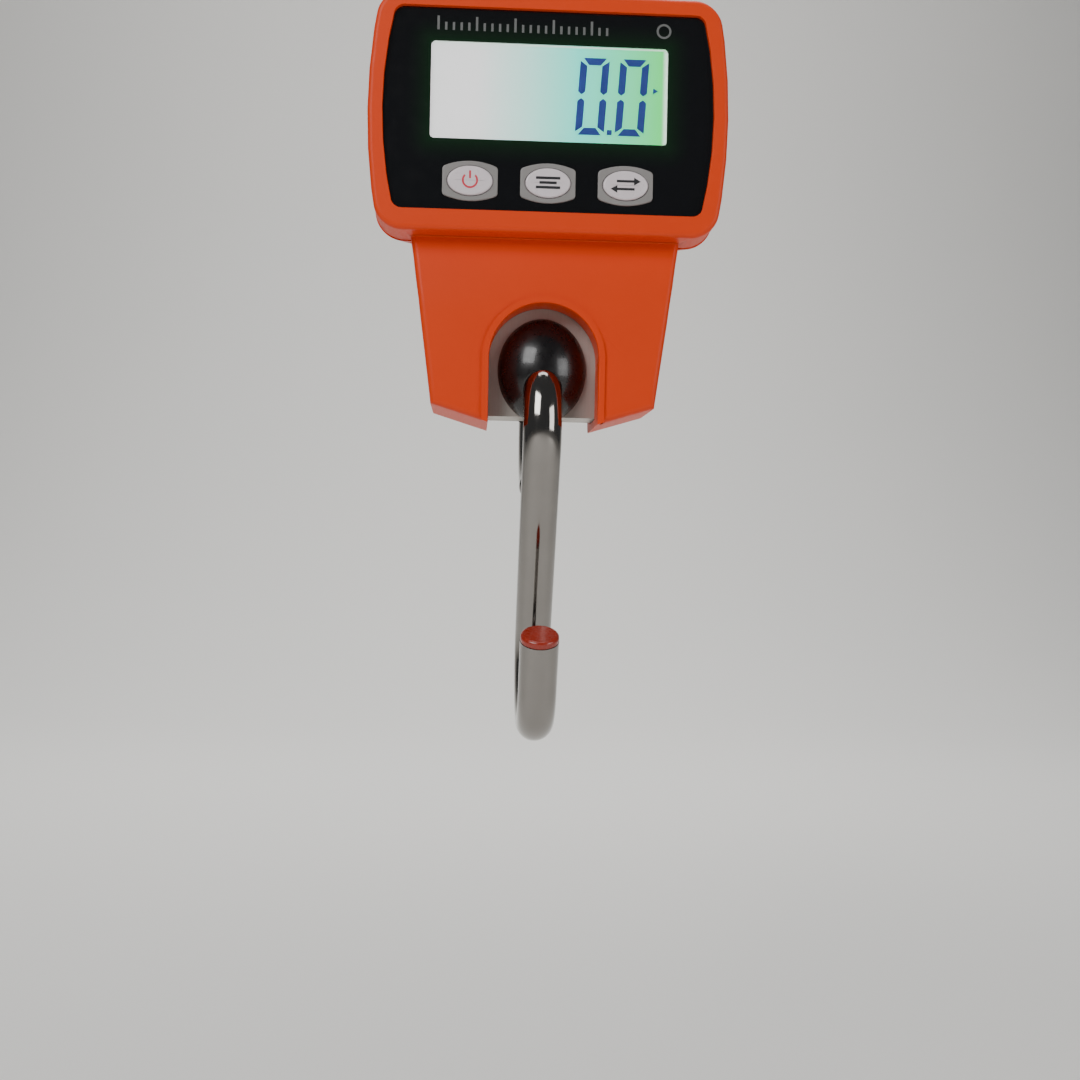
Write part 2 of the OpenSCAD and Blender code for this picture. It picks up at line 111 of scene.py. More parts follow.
class Model:
    """A mesh that is being modelled. Places and lengths are in millimetres, unless said otherwise."""

    def __init__(self, name: str, start: Callable[..., object], place: Vector, **settings: object) -> None:
        """Adds a primitive at its place.

        Args:
            name: the piece's name.
            start: the operator that adds the primitive.
            place: its middle, in metres.
            **settings: the operator's own settings, in metres.
        """
        bpy.ops.object.select_all(action="DESELECT")
        start(location=place, **settings)
        self.piece = bpy.context.active_object
        self.piece.name = name
        self.piece.data.name = name
        bpy.ops.object.transform_apply(location=True, rotation=True, scale=True)

    @classmethod
    def box(cls, name: str, low: Sequence[float], high: Sequence[float]) -> "Model":
        """Starts from a box between two corners."""
        low_v, high_v = mm(*low), mm(*high)
        return cls(name, bpy.ops.mesh.primitive_cube_add, (low_v + high_v) / 2, size=1, scale=high_v - low_v)

    @classmethod
    def rod(cls, name: str, r: float, y0: float, y1: float, x: float = 0, z: float = 0,
            sides: int = 64) -> "Model":
        """Starts from a cylinder that runs front to back."""
        return cls(name, bpy.ops.mesh.primitive_cylinder_add, mm(x, (y0 + y1) / 2, z), radius=r * MM,
                   depth=(y1 - y0) * MM, vertices=sides, rotation=UPRIGHT)

    @classmethod
    def circle(cls, name: str, r: float, place: Vector, sides: int, turn: Sequence[float] = UPRIGHT,
               fill: bool = False) -> "Model":
        """Starts from a circle or a regular polygon, upright and facing the front unless it is turned."""
        return cls(name, bpy.ops.mesh.primitive_circle_add, place, vertices=sides, radius=r * MM,
                   fill_type="NGON" if fill else "NOTHING", rotation=turn)

    @classmethod
    def washer(cls, name: str, r: float, hole: float, place: Vector) -> "Model":
        """Starts from an upright flat ring that faces the front.

        Args:
            name: the mesh's name.
            r: its outer radius.
            hole: the hole's share of that radius.
            place: its middle, in metres.

        Returns:
            The ring.
        """
        ring = cls.circle(name, r, place, 48)
        with ring.editing(Part.EDGE):
            ring.pick_all()
            ring.extrude()
            ring.stretch((hole, 1, hole), place)
        return ring

    @classmethod
    def grid(cls, name: str, w: float, h: float, place: Vector, across: int = 1, up: int = 1) -> "Model":
        """Starts from an upright grid that faces the front.

        Args:
            name: the mesh's name.
            w: its width.
            h: its height.
            place: its middle, in metres.
            across: how many faces it has side by side.
            up: how many it has one above the other.

        Returns:
            The grid.
        """
        flat = cls(name, bpy.ops.mesh.primitive_grid_add, place, size=1, x_subdivisions=across,
                   y_subdivisions=up, rotation=UPRIGHT)
        with flat.editing():
            flat.pick_all()
            flat.stretch((w * MM, 1, h * MM), place)
        return flat

    @classmethod
    def joined(cls, name: str, parts: Sequence["Model"]) -> "Model":
        """Makes one object of several, without cutting them.

        Args:
            name: the object's name.
            parts: the models, which it takes in.

        Returns:
            The first of them, with the others in it.
        """
        first, *others = parts
        alone(first.piece)
        for other in others:
            other.piece.select_set(True)
        bpy.ops.object.join()
        first.piece.name = name
        return first

    @contextmanager
    def editing(self, part: Part = Part.FACE) -> Iterator[None]:
        """Opens the mesh for edit operators with nothing selected, and closes it after.

        Args:
            part: the kind of element that the operators work on.
        """
        alone(self.piece)
        bpy.ops.object.mode_set(mode="EDIT")
        bpy.ops.mesh.select_mode(type=part.value)
        bpy.ops.mesh.select_all(action="DESELECT")
        yield
        bpy.ops.object.mode_set(mode="OBJECT")

    def pick_all(self) -> None:
        """Selects the whole mesh."""
        bpy.ops.mesh.select_all(action="SELECT")

    def pick(self, part: Part, test: Test) -> int:
        """Selects the elements whose middle and normal pass a test. An edge gives its direction.

        Args:
            part: the kind of element.
            test: takes the middle in millimetres and the normal.

        Returns:
            How many were selected.
        """
        bpy.ops.mesh.select_mode(type=part.value)
        bpy.ops.mesh.select_all(action="DESELECT")
        mesh = bmesh.from_edit_mesh(self.piece.data)
        mesh.normal_update()
        count = 0
        for item in {Part.VERT: mesh.verts, Part.EDGE: mesh.edges, Part.FACE: mesh.faces}[part]:
            if part is Part.VERT:
                middle, normal = item.co, item.normal
            elif part is Part.FACE:
                middle, normal = item.calc_center_median(), item.normal
            else:
                middle = (item.verts[0].co + item.verts[1].co) / 2
                normal = (item.verts[1].co - item.verts[0].co).normalized()
            hit = test(middle / MM, normal)
            item.select_set(hit)
            count += hit
        mesh.select_flush_mode()
        bmesh.update_edit_mesh(self.piece.data)
        return count

    def move(self, x: float = 0, y: float = 0, z: float = 0) -> None:
        """Moves what is selected."""
        bpy.ops.transform.translate(value=mm(x, y, z))

    def stretch(self, factor: Sequence[float], centre: Vector) -> None:
        """Scales what is selected about a place in metres."""
        bpy.ops.transform.resize(value=tuple(factor), center_override=tuple(centre))

    def extrude(self, x: float = 0, y: float = 0, z: float = 0) -> None:
        """Extrudes what is selected."""
        bpy.ops.mesh.extrude_region_move(TRANSFORM_OT_translate={"value": mm(x, y, z)})

    def dissolve(self) -> None:
        """Makes one face of the whole flat mesh."""
        bpy.ops.mesh.select_mode(type="FACE")
        self.pick_all()
        bpy.ops.mesh.dissolve_faces()

    def thicken(self, depth: float) -> "Model":
        """Extrudes the whole flat outline backwards into a closed solid.

        Args:
            depth: how far.

        Returns:
            This model.
        """
        with self.editing():
            self.pick_all()
            self.extrude(y=depth)
        return self.outward()

    def outward(self) -> "Model":
        """Merges doubles and turns all faces outwards.

        Returns:
            This model.
        """
        with self.editing():
            self.pick_all()
            bpy.ops.mesh.remove_doubles(threshold=1e-6)
            bpy.ops.mesh.normals_make_consistent(inside=False)
        return self

    def put(self, x: float = 0, y: float = 0, z: float = 0, size: Sequence[float] = (1, 1, 1)) -> "Model":
        """Scales the whole mesh about the origin, then moves it.

        Args:
            x: how far to the right.
            y: how far to the back.
            z: how far up.
            size: the factor along each axis.

        Returns:
            This model.
        """
        self.piece.data.transform(Matrix.Translation(mm(x, y, z)) @ Matrix.Diagonal((*size, 1)))
        return self

    def round_edges(self, test: Test, width: float, segments: int = 4) -> "Model":
        """Bevels the edges that pass a test.

        Args:
            test: takes an edge's middle and direction.
            width: the bevel's width.
            segments: how many faces it has across.

        Returns:
            This model.
        """
        with self.editing(Part.EDGE):
            if self.pick(Part.EDGE, test):
                bpy.ops.mesh.bevel(offset=width * MM, segments=segments, profile=0.5, clamp_overlap=True)
        return self

    def modify(self, kind: str, **settings: object) -> "Model":
        """Adds a modifier and applies it.

        Args:
            kind: the modifier's type.
            **settings: its own settings.

        Returns:
            This model.
        """
        alone(self.piece)
        modifier = self.piece.modifiers.new(kind.lower(), kind)
        for key, value in settings.items():
            setattr(modifier, key, value)
        bpy.ops.object.modifier_apply(modifier=modifier.name)
        return self

    def soften(self, width: float, segments: int = 2, angle: float = 50) -> "Model":
        """Bevels every edge sharper than an angle."""
        return self.modify("BEVEL", width=width * MM, segments=segments, limit_method="ANGLE",
                           angle_limit=math.radians(angle), harden_normals=False, use_clamp_overlap=True)

    def combine(self, other: "Model", how: str = "DIFFERENCE") -> "Model":
        """Cuts this solid with another, joins them or keeps what they share.

        Args:
            other: the other solid, which is used up.
            how: DIFFERENCE, UNION or INTERSECT.

        Returns:
            This model.
        """
        self.modify("BOOLEAN", operation=how, object=other.piece, solver="EXACT")
        bpy.data.objects.remove(other.piece)
        return self

    def copy(self, name: str, x: float = 0, y: float = 0, z: float = 0) -> "Model":
        """Makes a copy with its own mesh, moved by a length.

        Args:
            name: the copy's name.
            x: how far to the right.
            y: how far to the back.
            z: how far up.

        Returns:
            The copy.
        """
        alone(self.piece)
        bpy.ops.object.duplicate(linked=False)
        twin = object.__new__(Model)
        twin.piece = bpy.context.active_object
        twin.piece.name = name
        return twin.put(x, y, z)

    def turned_back(self, name: str) -> "Model":
        """Makes a mirror image behind the plane y = 0.

        Args:
            name: the image's name.

        Returns:
            The image, with its faces turned outwards.
        """
        twin = self.copy(name).put(size=(1, -1, 1))
        twin.piece.data.flip_normals()
        return twin

    def settle(self, finish: "Finish", body: str, *nodes: str) -> bpy.types.Object:
        """Finishes the piece: shading, material, the body it rides on and the nodes it stands for.

        Args:
            finish: the piece's material.
            body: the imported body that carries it.
            *nodes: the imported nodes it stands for.

        Returns:
            The finished object.
        """
        alone(self.piece)
        bpy.ops.object.transform_apply(location=True, rotation=True, scale=True)
        bpy.ops.object.shade_smooth_by_angle(angle=math.radians(32))
        self.modify("WEIGHTED_NORMAL", weight=100, keep_sharp=True)
        self.piece.data.materials.clear()
        self.piece.data.materials.append(finish.material())
        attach(self.piece, body)
        if nodes:
            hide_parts(*nodes)
        LOG.info("%s: %d faces", self.piece.name, len(self.piece.data.polygons))
        return self.piece


def add_node(tree: bpy.types.NodeTree, kind: str, settings: dict | None = None,
             **inputs: object) -> bpy.types.Node:
    """Adds a shader node with its settings and links.

    Args:
        tree: the material's node tree.
        kind: the node's type name without ShaderNode.
        settings: attributes and input values by name. An input's spaces are kept.
        **inputs: input names, with _ for a space, or in0, in1 and so on by number, each with the
            output socket that feeds it or its value.

    Returns:
        The new node.
    """
    made = tree.nodes.new("ShaderNode" + kind)
    for key, value in (settings or {}).items():
        if hasattr(made, key):
            setattr(made, key, value)
        else:
            made.inputs[key].default_value = value
    for key, source in inputs.items():
        numbered = key.startswith("in") and key[2:].isdigit()
        socket = made.inputs[int(key[2:]) if numbered else key.replace("_", " ")]
        if isinstance(source, bpy.types.NodeSocket):
            tree.links.new(source, socket)
        else:
            socket.default_value = source
    return made


@dataclass(frozen=True)
class Finish:
    """A material: a principled shader with colour variation and a fine relief on object coordinates.

    Attributes:
        name: the material's name.
        slot: the record's slot it belongs to; nothing in this script reads it.
        colour: main colour, sRGB hex.
        other: second colour, that patches drift towards.
        rough: roughness.
        rough_spread: how much the roughness varies.
        metal: 1 for a metal.
        patch: size of a patch of colour in mm.
        grain: size of a grain of relief in mm.
        relief: height of the relief in mm.
        stretch: how much the grain is drawn out along X, Y and Z.
        coat: weight of a clear coat.
        ior: index of refraction, kept at 1.5 on a metal.
        specular: strength of the reflection on a plastic.
    """

    name: str
    slot: str
    colour: str
    other: str
    rough: float = 0.4
    rough_spread: float = 0.08
    metal: float = 0.0
    patch: float = 12.0
    grain: float = 0.6
    relief: float = 0.01
    stretch: tuple[float, float, float] = (1.0, 1.0, 1.0)
    coat: float = 0.0
    ior: float = 1.5
    specular: float = 0.5

    def shader(self, tree: bpy.types.NodeTree, place: bpy.types.NodeSocket) -> bpy.types.Node:
        """Adds the shader.

        Args:
            tree: the material's node tree.
            place: the object coordinate.

        Returns:
            The principled node.
        """
        patches = add_node(tree, "TexNoise",
                           {"Scale": 1 / (self.patch * MM), "Detail": 3.0, "Roughness": 0.55}, Vector=place)
        tint = add_node(tree, "Mix", {"data_type": "RGBA"}, in0=patches.outputs["Fac"],
                        in6=linear(self.colour), in7=linear(self.other))
        drawn = add_node(tree, "Mapping", {"Scale": self.stretch}, Vector=place)
        grains = add_node(tree, "TexNoise", {"Scale": 1 / (self.grain * MM), "Detail": 4.0, "Roughness": 0.6},
                          Vector=drawn.outputs["Vector"])
        spread = add_node(tree, "MapRange", {"From Min": 0.3, "From Max": 0.7,
                                             "To Min": self.rough - self.rough_spread,
                                             "To Max": self.rough + self.rough_spread},
                          Value=grains.outputs["Fac"])
        bump = add_node(tree, "Bump", {"Strength": 1.0, "Distance": self.relief * MM},
                        Height=grains.outputs["Fac"])
        return add_node(tree, "BsdfPrincipled",
                        {"Metallic": self.metal, "Coat Weight": self.coat, "Coat Roughness": 0.08,
                         "IOR": self.ior, "Specular IOR Level": self.specular},
                        Base_Color=tint.outputs[2], Roughness=spread.outputs["Result"],
                        Normal=bump.outputs["Normal"])

    def material(self) -> bpy.types.Material:
        """Gives the material, which is made the first time it is asked for.

        Returns:
            The material.
        """
        known = bpy.data.materials.get(self.name)
        if known:
            return known
        made = bpy.data.materials.new(self.name)
        made.use_nodes = True
        tree = made.node_tree
        tree.nodes.clear()
        surface = self.shader(tree, add_node(tree, "TexCoord").outputs["Object"])
        add_node(tree, "OutputMaterial", Surface=surface.outputs[0])
        return made


@dataclass(frozen=True)
class LitCell(Finish):
    """A backlit liquid crystal cell: pale at the left, green to the right, brighter at its edges.

    Attributes:
        left: the light's colour at the left, sRGB hex.
        middle: its colour right of the middle.
        right: its colour at the right.
        edge: its colour along the edges.
        strength: how strong the light is.
        rim: where the bright edge starts, as a share of the half width and half height.
    """

    left: str = "e8e0e4"
    middle: str = "5ce6d4"
    right: str = "46de66"
    edge: str = "f0fff2"
    strength: float = 1.45
    rim: float = 0.95

    def shader(self, tree: bpy.types.NodeTree, place: bpy.types.NodeSocket) -> bpy.types.Node:
        """Adds the glowing shader.

        Args:
            tree: the material's node tree.
            place: the object coordinate.

        Returns:
            The principled node.
        """
        principled = super().shader(tree, place)
        half_w, half_h, middle_z = WINDOW_W / 2 * MM, WINDOW_H / 2 * MM, WINDOW_Z * MM
        axes = add_node(tree, "SeparateXYZ", Vector=place)
        across = add_node(tree, "MapRange", {"From Min": -half_w, "From Max": half_w},
                          Value=axes.outputs["X"])
        glow = add_node(tree, "ValToRGB", Fac=across.outputs["Result"])
        ramp = glow.color_ramp
        ramp.elements[0].color = linear(self.left)
        ramp.elements[1].color = linear(self.right)
        for stop, colour in ((0.2, self.left), (0.62, self.middle)):
            ramp.elements.new(stop).color = linear(colour)
        reach_z = add_node(tree, "MapRange",
                           {"From Min": middle_z, "From Max": middle_z + half_h, "clamp": False},
                           Value=axes.outputs["Z"])
        tall = add_node(tree, "Math", {"operation": "ABSOLUTE"}, in0=reach_z.outputs["Result"])
        reach_x = add_node(tree, "MapRange", {"From Max": half_w, "clamp": False}, Value=axes.outputs["X"])
        edge = add_node(tree, "Math", {"operation": "MAXIMUM"}, in0=tall.outputs[0],
                        in1=reach_x.outputs["Result"])
        rim = add_node(tree, "MapRange", {"From Min": self.rim, "From Max": 1.0,
                                          "interpolation_type": "SMOOTHSTEP"}, Value=edge.outputs[0])
        mixed = add_node(tree, "Mix", {"data_type": "RGBA"}, in0=rim.outputs["Result"],
                         in6=glow.outputs["Color"], in7=linear(self.edge))
        for socket in ("Base Color", "Emission Color"):
            tree.links.new(mixed.outputs[2], principled.inputs[socket])
        principled.inputs["Emission Strength"].default_value = self.strength
        return principled


@dataclass(frozen=True)
class FilmWithPaintedGlow(Finish):
    """A black printed film with a painted glow: a faint green light that the film itself gives off round its
    window.

    Attributes:
        glow: the painted glow's colour, sRGB hex.
        strength: how strong it is at the window's edge.
        reach: how far from the window it fades out, in mm.
    """

    glow: str = "1fd04e"
    strength: float = 0.026
    reach: float = 7.0

    def shader(self, tree: bpy.types.NodeTree, place: bpy.types.NodeSocket) -> bpy.types.Node:
        """Adds the shader with the painted glow.

        Args:
            tree: the material's node tree.
            place: the object coordinate.

        Returns:
            The principled node.
        """
        principled = super().shader(tree, place)
        axes = add_node(tree, "SeparateXYZ", Vector=place)
        level = add_node(tree, "Math", {"operation": "SUBTRACT"}, in0=axes.outputs["Z"], in1=WINDOW_Z * MM)
        squares = []
        for socket, side in ((axes.outputs["X"], WINDOW_W), (level.outputs[0], WINDOW_H)):
            size = add_node(tree, "Math", {"operation": "ABSOLUTE"}, in0=socket)
            gap = add_node(tree, "Math", {"operation": "SUBTRACT", "use_clamp": True}, in0=size.outputs[0],
                           in1=side / 2 * MM)
            squares.append(add_node(tree, "Math", {"operation": "MULTIPLY"}, in0=gap.outputs[0],
                                    in1=gap.outputs[0]).outputs[0])
        total = add_node(tree, "Math", {"operation": "ADD"}, in0=squares[0], in1=squares[1])
        away = add_node(tree, "Math", {"operation": "SQRT"}, in0=total.outputs[0])
        fade = add_node(tree, "MapRange", {"From Max": self.reach * MM, "To Min": 1.0, "To Max": 0.0},
                        Value=away.outputs[0]).outputs["Result"]
        faint = add_node(tree, "Math", {"operation": "MULTIPLY"}, in0=fade, in1=fade)
        power = add_node(tree, "Math", {"operation": "MULTIPLY"}, in0=faint.outputs[0], in1=self.strength)
        # The painted glow: the film gives off green light that fades out away from the window.
        tree.links.new(power.outputs[0], principled.inputs["Emission Strength"])
        principled.inputs["Emission Color"].default_value = linear(self.glow)
        return principled


@dataclass(frozen=True)
class ClearSheet(Finish):
    """A clear sheet, seen through."""

    def shader(self, tree: bpy.types.NodeTree, place: bpy.types.NodeSocket) -> bpy.types.Node:
        """Adds the see-through shader.

        Args:
            tree: the material's node tree.
            place: the object coordinate.

        Returns:
            The principled node.
        """
        principled = super().shader(tree, place)
        principled.inputs["Transmission Weight"].default_value = 1.0
        return principled


# ABS moulded in a spark-eroded tool: an even fine grain that spreads highlights into a soft sheen. The
# grain is drawn at half a millimetre, coarser than the real one, so that it shows.
ORANGE_ABS = Finish("sparked_orange_abs", "orange_shell", "dd3e02", "d43a02", rough=0.48, grain=0.55,
                    relief=0.012, patch=25, specular=0.28)
# Polycarbonate film printed black on its back: smooth and glossy over a deep black, with a painted glow, a
# faint green light given off round the window.
BLACK_FILM = FilmWithPaintedGlow("black_printed_film_with_painted_glow", "black_panel", "0b0c0e", "0e0f12", rough=0.14,
                       rough_spread=0.04, grain=3, relief=0.004, patch=30, coat=0.4)
# Turned and polished black acetal: glossy, with a haze from handling that blurs the lamps a little.
BLACK_ACETAL = Finish("polished_black_acetal", "black_gloss", "0d0b0c", "141112", rough=0.3,
                      rough_spread=0.07, grain=2.2, relief=0.004, patch=10, coat=0.25)
# Bright chrome plate on drawn steel rod: a mirror, with faint drawing lines along the rod. Its colour is set
# darker than chrome's, a painted shade that stands in for the dark room it reflects.
CHROME_PAINTED_SHADE = Finish("chrome_plated_steel", "chromed_steel", "9a9691", "8e8a86", rough=0.1, rough_spread=0.04,
                metal=1, grain=0.8, relief=0.0012, patch=9, stretch=(1, 1, 0.15))
# Milled aluminium: satin grey, with cutter lines along its length, drawn coarser than real ones.
ALUMINIUM = Finish("milled_aluminium", "plain_aluminium", "cdc6be", "b4ada6", rough=0.5, rough_spread=0.1,
                   metal=1, grain=0.7, relief=0.006, patch=8, stretch=(1.4, 1, 0.06))
# Key caps moulded in white ABS: a soft gloss on a slightly warm white.
WHITE_KEY = Finish("moulded_white_abs", "white_button", "ddd3d6", "d3c9cd", rough=0.32, grain=1.2,
                   relief=0.003, patch=5)
# ABS sprayed silver grey: an even tone, with a dull gleam on its rounded edges.
GREY_TRIM = Finish("painted_grey_abs", "grey_plastic", "8d8a88", "827f7d", rough=0.38, grain=0.7,
                   relief=0.004, patch=6)
# A thick cap on the end of the rod, glossy and a little uneven. Its red is a painted reflection that stands
# in for the orange casing mirrored in the rod's end.
CAP_RED_PAINTED_REFLECTION = Finish("cap_red_painted_reflection", "red_cap", "a02c18", "8a2413", rough=0.28, grain=1.5, relief=0.006,
                 patch=4, coat=0.3)
# Screen-printed inks: dull and flat beside the gloss they lie on.
RED_INK = Finish("screen_printed_red_ink", "red_cap", "d23a4c", "c33444", rough=0.5, grain=0.4,
                 relief=0.002, patch=3)
BLACK_INK = Finish("screen_printed_black_ink", "black_matte", "1b1b1e", "232326", rough=0.5, grain=0.4,
                   relief=0.002, patch=3)
PALE_INK = Finish("screen_printed_grey_ink", "grey_plastic", "6c6e6d", "5d5f5e", rough=0.45, grain=0.4,
                  relief=0.002, patch=3)
# Liquid crystal that is switched on: it holds back the light and leaves a violet blue.
SEGMENT_INK = Finish("switched_liquid_crystal", "lcd_green", "4656cc", "4d60d4", rough=0.4, grain=0.5,
                     relief=0.001, patch=6)
# Zinc-plated steel: a cool grey with soft, broken highlights.
ZINC = Finish("zinc_plated_steel", "zinc_screw", "b4b4b2", "a2a29c", rough=0.3, rough_spread=0.08, metal=1,
              grain=0.5, relief=0.003, patch=3)
# Cast acrylic: colourless, with a sharp reflection on a clear view of the cell.
CLEAR = ClearSheet("cast_clear_acrylic", "clear_window", "f4faf7", "f0f8f4", rough=0.03, rough_spread=0.01,
                   grain=5, relief=0.0005, patch=20, ior=1.49)
# Glass cell with a polariser over a light guide: it glows evenly, and more along its edges.
LIT_CELL = LitCell("backlit_crystal_cell", "lcd_green", "a9e6cf", "9fdcc4", rough=0.35, grain=0.5,
                   relief=0.0005)
# Nylon moulded in dark grey: dull, with a fine grain.
DARK_NYLON = Finish("moulded_dark_nylon", "black_matte", "1f2023", "26272b", rough=0.5, grain=0.6,
                    relief=0.008, patch=8)
# Solder mask over etched copper: glossy green that rises and falls over the tracks.
BOARD_MASK = Finish("green_solder_mask", "board_green", "1b5a37", "134629", rough=0.35, grain=0.8,
                    relief=0.02, patch=4)
# PVC sleeve shrunk on a steel can: a smooth blue gloss with a highlight along the cell.
SLEEVE = Finish("shrunk_blue_pvc", "cell_jacket", "2f4d6a", "274159", rough=0.28, grain=1.5, relief=0.003,
                patch=9)
# The same sleeve where it is metallised: a warm gold under a clear coat.
GOLD_BAND = Finish("metallised_gold_pvc", "cell_jacket", "b9803a", "a87030", rough=0.3, grain=1.5,
                   relief=0.003, patch=9, coat=0.3)
# Silicone cured where it was poured: a soft milky white with a wavy skin.
SILICONE = Finish("cured_white_silicone", "white_rubber", "dedbd2", "d2cec4", rough=0.6, grain=1.4,
                  relief=0.03, patch=5)
# Polyimide laminated over copper: smooth amber.
POLYIMIDE = Finish("laminated_amber_polyimide", "ribbon_amber", "b8822f", "a87428", rough=0.3, grain=0.7,
                   relief=0.003, patch=3)
# Acrylic with a frosted face: an even white without highlights.
DIFFUSER = Finish("frosted_white_acrylic", "backlight_white", "e8f2e8", "dfeadf", rough=0.6, grain=0.3,
                  relief=0.01, patch=10)
# Heavy uncoated paper: matte and almost even, so that the object keeps the eye.
PAPER = Finish("matte_studio_paper", "white_rubber", "f0eeea", "ecebe7", rough=0.8, grain=2, relief=0.01,
               patch=400)


@dataclass
class Outline:
    """The display head's outline and the places that the other parts share. Its sides bow outwards."""

    head_z: float = -93.0
    head_w: float = 92.6
    head_h: float = 61.3
    bow: float = 3.0
    corner: float = 6.2
    draft: float = 4.8
    front_y: float = -20.0
    part_y: float = -7.0
    back_y: float = 19.8
    arch_r: float = 14.1
    low_arch_z: float = -154.5
    high_arch_z: float = -45.3
    low_bore_z: float = -155.8
    high_bore_z: float = -44.0
    key_z: float = -110.6
    key_pitch: float = 19.8

    @property
    def key_places(self) -> tuple[float, float, float]:
        """Gives the keys' places from left to right."""
        return -self.key_pitch, 0.0, self.key_pitch

    def head(self, name: str, inset: float, y: float, top: float = 0, foot: float = 0,
             corner: float = 0) -> Model:
        """Makes the head's flat outline with bowed sides and round corners.

        Args:
            name: the mesh's name.
            inset: how far it stays inside the head's own outline at the sides.
            y: where it stands.
            top: how far it stays below the head's top, or inset if 0.
            foot: how far it stays above the head's foot, or inset if 0.
            corner: corner radius, or the head's own if 0.

        Returns:
            The outline as one face.
        """
        top, foot = top or inset, foot or inset
        half_w, half_h = self.head_w / 2 - inset, (self.head_h - top - foot) / 2
        z = self.head_z + (foot - top) / 2
        rows = 6
        flat = Model.grid(name, 2 * half_w, 2 * half_h, mm(0, y, z), 1, rows)
        with flat.editing(Part.VERT):
            for row in range(rows + 1):
                t = 2 * row / rows - 1
                level = z + half_h * t
                flat.pick(Part.VERT, lambda c, n, level=level: abs(c.z - level) < 0.1)
                flat.stretch(((half_w - self.bow * t * t) / half_w, 1, 1), mm(0, y, level))
            flat.pick(Part.VERT, lambda c, n: abs(c.z - z) > half_h - 0.1)
            bpy.ops.mesh.bevel(offset=(corner or self.corner) * MM, segments=10, affect="VERTICES",
                               clamp_overlap=False)
            flat.dissolve()
        return flat

    def tapered(self, name: str, inset: float, y0: float, y1: float, draft: float) -> Model:
        """Makes the head's solid between two planes, drawn in towards the back.

        Args:
            name: the mesh's name.
            inset: how far its front stays inside the head's outline.
            y0: its front.
            y1: its back.
            draft: how far the back draws in.

        Returns:
            The solid.
        """
        solid = self.head(name, inset, y0).thicken(y1 - y0)
        half_w, half_h = self.head_w / 2 - inset, self.head_h / 2 - inset
        with solid.editing(Part.VERT):
            solid.pick(Part.VERT, lambda c, n: c.y > y1 - 0.1)
            solid.stretch(((half_w - draft) / half_w, 1, (half_h - draft) / half_h), mm(0, y1, self.head_z))
        return solid

    def beside_arch(self, place: Vector, low: bool) -> float:
        """Tells how far a place stands outside an arch, or less than 0 inside it."""
        rise = place.z - self.low_arch_z if low else self.high_arch_z - place.z
        return math.hypot(place.x, max(rise, 0)) - self.arch_r

    def arch(self, name: str, low: bool, grow: float, y0: float, y1: float) -> Model:
        """Makes the keyhole-shaped solid of an arch.

        Args:
            name: the mesh's name.
            low: true for the lower arch.
            grow: how far it stands outside the arch.
            y0: its front.
            y1: its back.

        Returns:
            The solid.
        """
        r = self.arch_r + grow
        z = self.low_arch_z if low else self.high_arch_z
        end = z - 30 if low else z + 30
        key = Model.rod(name, r, y0, y1, 0, z, 96)
        slot = Model.box(name + "_slot", (-r, y0, min(z, end)), (r, y1, max(z, end)))
        return key.combine(slot, "UNION")


